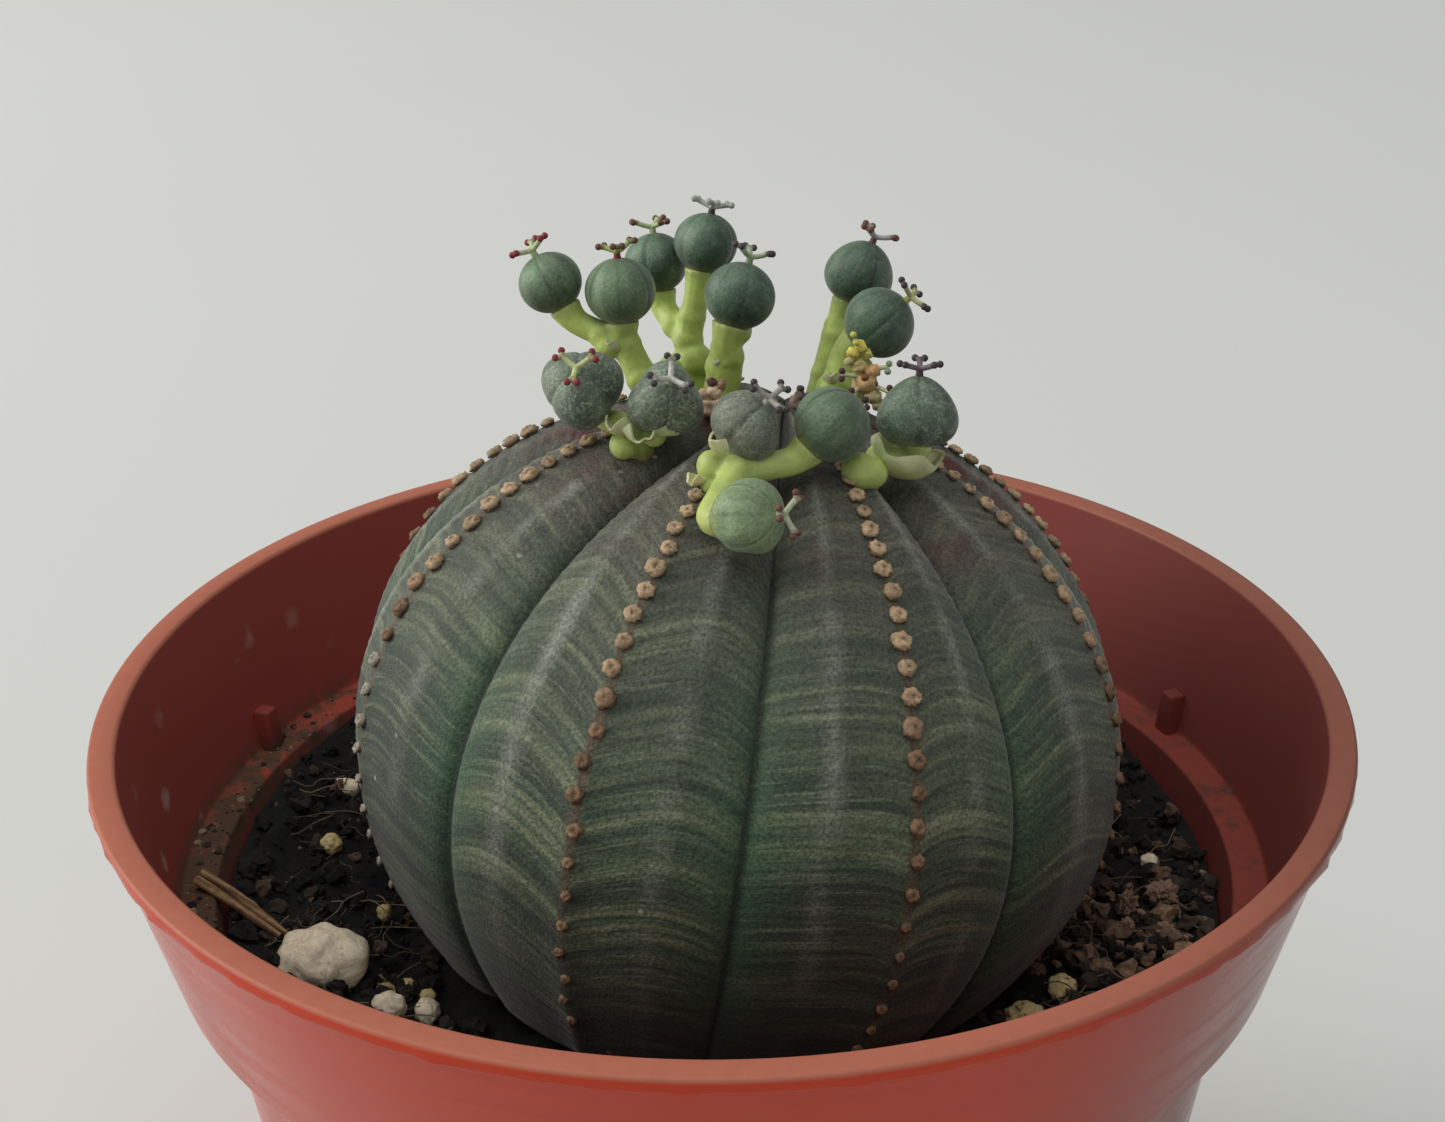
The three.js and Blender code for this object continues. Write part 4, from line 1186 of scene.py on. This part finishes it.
# %% Soil finish
earth, tree, shader = new_finish("potting_earth", Roughness=0.95)
place = object_place(tree)
grain = noise_of(tree, place, 900, 8, 0.7)
patch = noise_of(tree, place, 160, 4, 0.6)
colour = blended(tree, between(tree, grain, 0.45, 0.8), (0.002, 0.002, 0.0018), (0.022, 0.016, 0.011))
colour = blended(tree, between(tree, patch, 0.54, 0.64, 0.0, 0.7), colour, (0.0025, 0.008, 0.0045))
tree.links.new(colour, shader.inputs["Base Color"])
bumped(tree, shader, grain, 0.6 * MM, 1.0)
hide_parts("soil")
dressed(soil, earth)

# %% Crumbs
def crumb_template(subdivisions, seed):
    piece = pellet("crumb", (0, 0, 0), 0.5, subdivisions)
    return ruffled(piece, 0.35, 0.45, seed)


def tumbled(chance):
    """A turn that shows any side."""
    return Quaternion((chance.random(), chance.random(), chance.random(), 1)).normalized()


fine_crumbs = [crumb_template(1, seed) for seed in range(4)]
big_crumbs = [crumb_template(2, seed) for seed in range(4)]
EARTHS = ((0.005, 0.0045, 0.0035), (0.012, 0.0095, 0.007), (0.035, 0.024, 0.016), (0.1, 0.065, 0.042),
          (0.24, 0.18, 0.11))
CRUMBS, LEDGE_CRUMBS, CLODS = 2600, 150, 130
crumb_random = random.Random(11)
copies = []
for _ in range(CRUMBS):
    angle = crumb_random.uniform(0, 360)
    reach = math.sqrt(crumb_random.uniform((NECK - 2 * MM) ** 2, (BED - 0.4 * MM) ** 2))
    size = 0.4 + 2.0 * crumb_random.random() ** 3.5
    spot = polar(reach, angle)
    spot.z = soil_height(spot.x, spot.y) + 0.15 * size * MM
    templates = big_crumbs if size > 0.9 else fine_crumbs
    earth_colour = crumb_random.choices(EARTHS, weights=(7, 6, 2.5, 1.2, 0.5))[0]
    sides = [size * crumb_random.uniform(0.6, 1.2) * MM for _ in range(3)]
    turned = tumbled(crumb_random)
    copies.append((crumb_random.choice(templates),
                   Matrix.LocRotScale(spot, turned, Vector(sides)), earth_colour))
for _ in range(LEDGE_CRUMBS):
    angle = crumb_random.gauss(178, 26)
    reach = crumb_random.uniform(LEDGE_INNER - 0.4 * MM, COLLAR_INNER - 0.3 * MM)
    size = 0.25 + 0.9 * crumb_random.random() ** 3
    spot = polar(reach, angle, LEDGE_HEIGHT + 0.1 * size * MM)
    earth_colour = crumb_random.choice(EARTHS[1:])
    flat = Vector((size, size, 0.6 * size)) * MM
    copies.append((crumb_random.choice(fine_crumbs),
                   Matrix.LocRotScale(spot, Quaternion(), flat), earth_colour))
for _ in range(CLODS):
    angle = crumb_random.gauss(-14, 9)
    reach = NECK + (BED - NECK) * crumb_random.uniform(0.15, 0.97)
    size = 0.8 + 1.7 * crumb_random.random() ** 2
    spot = polar(reach, angle)
    spot.z = soil_height(spot.x, spot.y) + crumb_random.uniform(0.0, 0.5) * size * MM
    turned = tumbled(crumb_random)
    clod = np.array((0.17, 0.105, 0.066)) * (0.15 + 1.5 * crumb_random.random() ** 1.6)
    sides = [size * crumb_random.uniform(0.6, 1.1) * MM for _ in range(3)]
    copies.append((crumb_random.choice(big_crumbs), Matrix.LocRotScale(spot, turned, Vector(sides)), clod))
crumbs = gathered("soil_crumbs", copies)
discard(fine_crumbs + big_crumbs)
crumb_finish = painted_finish("crumbs", 1500, 0.45, 1.5, 0.12 * MM, Roughness=0.95)
dressed(crumbs, crumb_finish)

# %% Fibres
STRANDS = 230
fibre_random = random.Random(23)


def fibre_template(seed):
    """A thin root hair of 1 across that wanders a little."""
    shape = random.Random(seed)
    points = [Vector((-0.5 + step / 4, shape.uniform(-0.16, 0.16), shape.uniform(-0.05, 0.1)))
              for step in range(5)]
    return rod("fibre", points, [0.012] * 5, 1, 2)


fibres = [fibre_template(seed) for seed in range(4)]
strands = []
for _ in range(STRANDS):
    reach = fibre_random.uniform(NECK, BED - 2.5 * MM)
    spot = polar(reach, fibre_random.choice((180, 0, 270)) + fibre_random.gauss(0, 30))
    spot.z = soil_height(spot.x, spot.y) + fibre_random.uniform(0.3, 1.0) * MM
    long = fibre_random.uniform(2.5, 7) * MM
    turned = Quaternion(UP, fibre_random.uniform(0, 6.3)) @ Quaternion((0, 1, 0), fibre_random.gauss(0, 0.2))
    tone = np.array((0.17, 0.12, 0.075)) * fibre_random.uniform(0.25, 1.4)
    strands.append((fibre_random.choice(fibres), Matrix.LocRotScale(spot, turned, Vector([long] * 3)), tone))
strand_piece = gathered("soil_fibres", strands)
discard(fibres)
dressed(smooth(strand_piece), dry)

# %% [markdown]
# ## Stones
#
# White pumice, yellow grit and brown clods lie half sunk in the soil. Each starts as an icosphere
# stretched to the size that the CAD model gives it, and is then broken up with noise at three sizes:
# a broad unevenness, facets and small pits.

# %% Stones
STONE_LOOKS = {
    "pumice": ("pumice", ("pumice_large", "pebble_01", "pebble_02", "grit_01", "gravel_07")),
    "yellow_grit": ("sand_stone", ("pebble_03", "pebble_04", "pebble_05", "pebble_06", "grit_02", "chunk_01",
                                   "chunk_02")),
    "brown_clod": ("gravel", ("grit_03", "gravel_01", "gravel_02", "gravel_03", "gravel_04", "gravel_05",
                              "gravel_06")),
}


def stone(node, seed, roughness):
    low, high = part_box(node)
    detail = 5 if (high - low).length > 9 * MM else 4
    bpy.ops.mesh.primitive_ico_sphere_add(subdivisions=detail, radius=1)
    piece = bpy.context.active_object
    middle = (low + high) / 2
    piece.scale = (high - low) / 2
    piece.location = middle
    piece = named(f"stone_{node}")
    mean = (high - low).length / 3.5
    places = []
    for x, y, z in points_of(piece):
        start = Vector((x, y, z))
        outward = (start - middle).normalized()
        facets = noise.voronoi(start / (0.45 * mean) + Vector((seed, 0, 0)))[0]
        broad = noise.noise(start / (0.5 * mean) + Vector((0, seed, 0)))
        pits = noise.fractal(start / (0.12 * mean) + Vector((0, 0, seed)), 0.8, 2.0, 3)
        push = 0.14 * broad + roughness * (0.35 - facets[0]) * 0.5 + roughness * 0.12 * pits
        places.append(start + outward * push * mean)
    set_points(piece, places)
    return smooth(piece, 50)


def stone_finish(name, dark, light, stain, pits):
    material, tree, shader = new_finish(name, Roughness=0.9)
    place = object_place(tree)
    cloudy = noise_of(tree, place, 260, 4, 0.6)
    fine = noise_of(tree, place, 1800, 5, 0.7)
    colour = blended(tree, between(tree, cloudy, 0.3, 0.7), dark, light)
    colour = blended(tree, between(tree, noise_of(tree, place, 110, 3), 0.56, 0.68, 0.0, 0.7), colour, stain)
    # Painted shade: small dark spots stand in for shaded pits.
    painted_pit_shade = add(tree, "TexVoronoi", {"Vector": place, "Scale": 1100.0}).outputs["Distance"]
    colour = blended(tree, between(tree, painted_pit_shade, 0.24, 0.1, 0.0, pits), colour, tuple(0.3 * c for c in dark))
    colour = shaded(tree, colour, between(tree, fine, 0.3, 0.7, 0.75, 1.15))
    tree.links.new(colour, shader.inputs["Base Color"])
    bumped(tree, shader, fine, 0.25 * MM, 0.8)
    return material


# Each finish: its dark and light colours, its stains and how strongly painted shade darkens its pits.
STONE_FINISHES = {
    "pumice": stone_finish("pumice", (0.92, 0.76, 0.54), (0.98, 0.88, 0.67), (0.68, 0.4, 0.17), 0.35),
    "yellow_grit": stone_finish("yellow_grit", (0.6, 0.46, 0.18), (0.78, 0.64, 0.34),
                                (0.34, 0.2, 0.07), 0.8),
    "brown_clod": stone_finish("brown_clod", (0.14, 0.085, 0.055), (0.34, 0.21, 0.14),
                               (0.05, 0.03, 0.02), 0.9),
}
STONE_ROUGHNESS = {"pumice": 0.12, "yellow_grit": 0.5, "brown_clod": 1.1}
for look, (slot_name, nodes) in STONE_LOOKS.items():
    for seed, node in enumerate(nodes):
        rock = stone(node, seed, STONE_ROUGHNESS[look])
        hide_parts(node)
        dressed(rock, STONE_FINISHES[look])

# %% [markdown]
# ## Dry bits
#
# A split straw leans from the ledge into the soil, a withered flower stands among the fruits and
# two dried stumps are left on the crown.

# %% Straw, flower and stumps
twig_low, twig_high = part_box("twig")
twig_start = polar(LEDGE_INNER + 1.6 * MM, 189, LEDGE_HEIGHT + 1.1 * MM)
twig_end = Vector((twig_high.x + 1.6 * MM, twig_low.y - 1.3 * MM, twig_low.z + 1.6 * MM))
straws = []
for across, lift, thick, short in ((0.6, 0.3, 0.46, 1.0), (-0.4, 0.1, 0.5, 0.96), (0.1, -0.3, 0.4, 0.8)):
    shift = Vector((0.3 * across, across, lift)) * MM
    points = [twig_start + shift, twig_start.lerp(twig_end, 0.35) + shift + Vector((0, 0, 0.3)) * MM,
              twig_start.lerp(twig_end, 0.7) + shift, twig_start.lerp(twig_end, short) + 0.6 * shift]
    straws.append(rod("straw", points, [thick * MM, 0.9 * thick * MM, thick * MM, 0.6 * thick * MM], 3, 8))
straw = joined(straws, "straw_twig")
ruffled(straw, 0.15 * MM, 1.2 * MM, 3)
places = points_of(straw)
stripe = 0.5 + 0.5 * np.sin(9 * places[:, 1] / MM + 3 * places[:, 0] / MM)
paint(straw, np.array((0.1, 0.05, 0.022)) + stripe[:, None] * np.array((0.3, 0.19, 0.09)))
smooth(straw, 60)
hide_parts("twig")
dressed(straw, dry)

# %% Withered flower
flower_foot = perch(1.02, -0.5, -0.2)
flower_cup = perch(0.9, -0.42, 0.75)
flower_axis = (flower_cup - flower_foot).normalized()
flower_random = random.Random(5)
flower_stem = rod("stem", [flower_foot, flower_foot.lerp(flower_cup, 0.5), flower_cup],
                  [0.8 * MM, 0.6 * MM, 0.9 * MM])
flower_parts = [(flower_stem, (0.55, 0.5, 0.26))]
# Each lump: its place in millimetres right, back and up from the cup, its size and its colour.
FLOWER_LUMPS = (
    ((0.9, -0.8, -1.9), 0.75, (0.6, 0.5, 0.26)), ((1.5, -0.9, -2.9), 0.6, (0.55, 0.47, 0.25)),
    ((0.3, -0.5, -0.7), 1.0, (0.62, 0.4, 0.18)), ((0.9, -0.6, 0.3), 0.7, (0.6, 0.36, 0.16)),
    ((-0.4, -0.3, 0.9), 0.7, (0.62, 0.5, 0.22)), ((-0.9, -0.4, 2.1), 0.55, (0.7, 0.62, 0.14)),
    ((-0.2, -0.2, 2.6), 0.6, (0.66, 0.58, 0.1)), ((0.4, -0.3, 1.9), 0.5, (0.6, 0.55, 0.16)),
    ((-1.3, -0.5, 1.3), 0.4, (0.56, 0.52, 0.24)), ((1.1, -0.9, -0.9), 0.4, (0.16, 0.07, 0.03)),
    ((0.2, -1.1, -0.1), 0.35, (0.2, 0.08, 0.03)),
)
for seed, (shift, lump_radius, lump_colour) in enumerate(FLOWER_LUMPS):
    lump = pellet("lump", flower_cup + Vector(shift) * MM, lump_radius * MM, 3)
    flower_parts.append((ruffled(lump, 0.4 * lump_radius * MM, 0.6 * MM, seed), lump_colour))
# Each arm: from and to in the same way, and the colour of its knobs.
PURPLE_BROWN, GREY_GREEN = (0.09, 0.035, 0.045), (0.26, 0.34, 0.2)
FLOWER_ARMS = (
    ((-0.2, -0.6, -0.2), (-2.0, -1.0, 0.2), PURPLE_BROWN),
    ((0.3, -0.9, -0.8), (-1.2, -1.6, -1.5), PURPLE_BROWN),
    ((0.8, -0.8, -1.0), (2.3, -1.6, -1.3), PURPLE_BROWN),
    ((0.6, -0.5, 0.5), (2.4, -0.9, 0.8), GREY_GREEN),
    ((0.9, -1.0, -1.8), (0.2, -1.9, -2.3), PURPLE_BROWN),
    ((-0.4, -0.3, 2.4), (-0.8, -0.5, 3.5), (0.66, 0.6, 0.14)),
)
for start, end, knob_colour in FLOWER_ARMS:
    root, tip = flower_cup + Vector(start) * MM, flower_cup + Vector(end) * MM
    arm = rod("arm", [root, root.lerp(tip, 0.5) + Vector((0, 0, 0.15)) * MM, tip],
              [0.26 * MM, 0.2 * MM, 0.2 * MM])
    flower_parts.append((arm, (0.52, 0.52, 0.3)))
    for side in (-1, 1):
        spread = Vector((flower_random.uniform(-0.15, 0.15), 0.1 * side, 0.34 * side)) * MM
        flower_parts.append((pellet("knob", tip + spread, 0.32 * MM), knob_colour))
flower = grouped(flower_parts, "withered_flower")
smooth(flower, 70)
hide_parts("dried_flower")
dressed(flower, dry)

# %% Stumps
def stump(node, place, lumps):
    """A husk of crumpled lumps: each has its shift and radius in millimetres and its colour."""
    foot = perch(*place)
    parts = []
    for seed, (shift, lump_radius, lump_colour) in enumerate(lumps):
        lump = pellet("lump", foot + PLANT_TURN @ Vector(shift) * MM, lump_radius * MM, 3)
        parts.append((ruffled(lump, 0.5 * lump_radius * MM, 0.7 * MM, seed + 3), lump_colour))
    piece = grouped(parts, node + "_husk")
    smooth(piece, 70)
    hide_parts(node)
    return dressed(piece, dry)


stump("dried_stump_left", (-1.1, -0.72, 0.1), (
    ((0, 0, 0), 1.1, (0.5, 0.36, 0.24)), ((0.9, -0.2, 0.3), 0.8, (0.6, 0.42, 0.3)),
    ((-0.7, 0.1, 0.7), 0.75, (0.46, 0.32, 0.22)), ((0.2, 0, 1.4), 0.7, (0.58, 0.44, 0.3)),
    ((0.7, 0.2, 2.1), 0.55, (0.3, 0.18, 0.12)), ((-0.1, 0.1, 2.3), 0.45, (0.1, 0.05, 0.04)),
    ((1.5, -0.1, -0.2), 0.6, (0.42, 0.3, 0.2)),
))
stump("dried_stump_right", (0.14, -0.42, 0.1), (
    ((0, 0, 0), 0.65, (0.2, 0.14, 0.11)), ((0.2, 0, 0.8), 0.5, (0.14, 0.1, 0.09)),
    ((0.1, 0, 1.4), 0.35, (0.06, 0.045, 0.05)),
))

# %% [markdown]
# ## Studio
#
# The pot stands on a plain pale floor that reaches far enough to be the whole background. The light
# is that of a room by a window: one large soft source at the left, a wide soft one overhead and an
# even fill from all round.

# %% Floor and light
bpy.ops.mesh.primitive_plane_add(size=8)
floor = named("floor")
paper, tree, shader = new_finish("pale_paper", Roughness=0.9)
place = object_place(tree)
tint = blended(tree, noise_of(tree, place, 3, 2), (0.63, 0.64, 0.62), (0.66, 0.67, 0.65))
tree.links.new(tint, shader.inputs["Base Color"])
floor.data.materials.append(paper)


def soft_light(name, place, target, width, height, watts, colour=(1, 1, 1)):
    bpy.ops.object.light_add(type="AREA", location=place)
    light = bpy.context.active_object
    light.name = name
    light.data.shape = "RECTANGLE"
    light.data.size = width
    light.data.size_y = height
    light.data.energy = watts
    light.data.color = colour
    light.rotation_euler = (Vector(target) - Vector(place)).to_track_quat("-Z", "Y").to_euler()
    return light


crown_place = (0, 0, 0.1)
soft_light("window", (-2.0, 0.25, 1.0), crown_place, 1.3, 1.7, 36.0, (1, 0.98, 0.94))

bpy.ops.object.light_add(type="SUN", location=(0, -0.3, 1.5))
overhead = bpy.context.active_object
overhead.name = "overhead"
overhead.data.energy = 1.0
overhead.data.angle = math.radians(60)
overhead.rotation_euler = Vector((-0.12, -0.22, 1)).to_track_quat("Z", "Y").to_euler()

world = bpy.data.worlds.new("studio")
bpy.context.scene.world = world
world.use_nodes = True
world.node_tree.nodes["Background"].inputs["Color"].default_value = (0.99, 1, 0.98, 1)
world.node_tree.nodes["Background"].inputs["Strength"].default_value = 0.36
bpy.context.scene.view_settings.view_transform = "Standard"
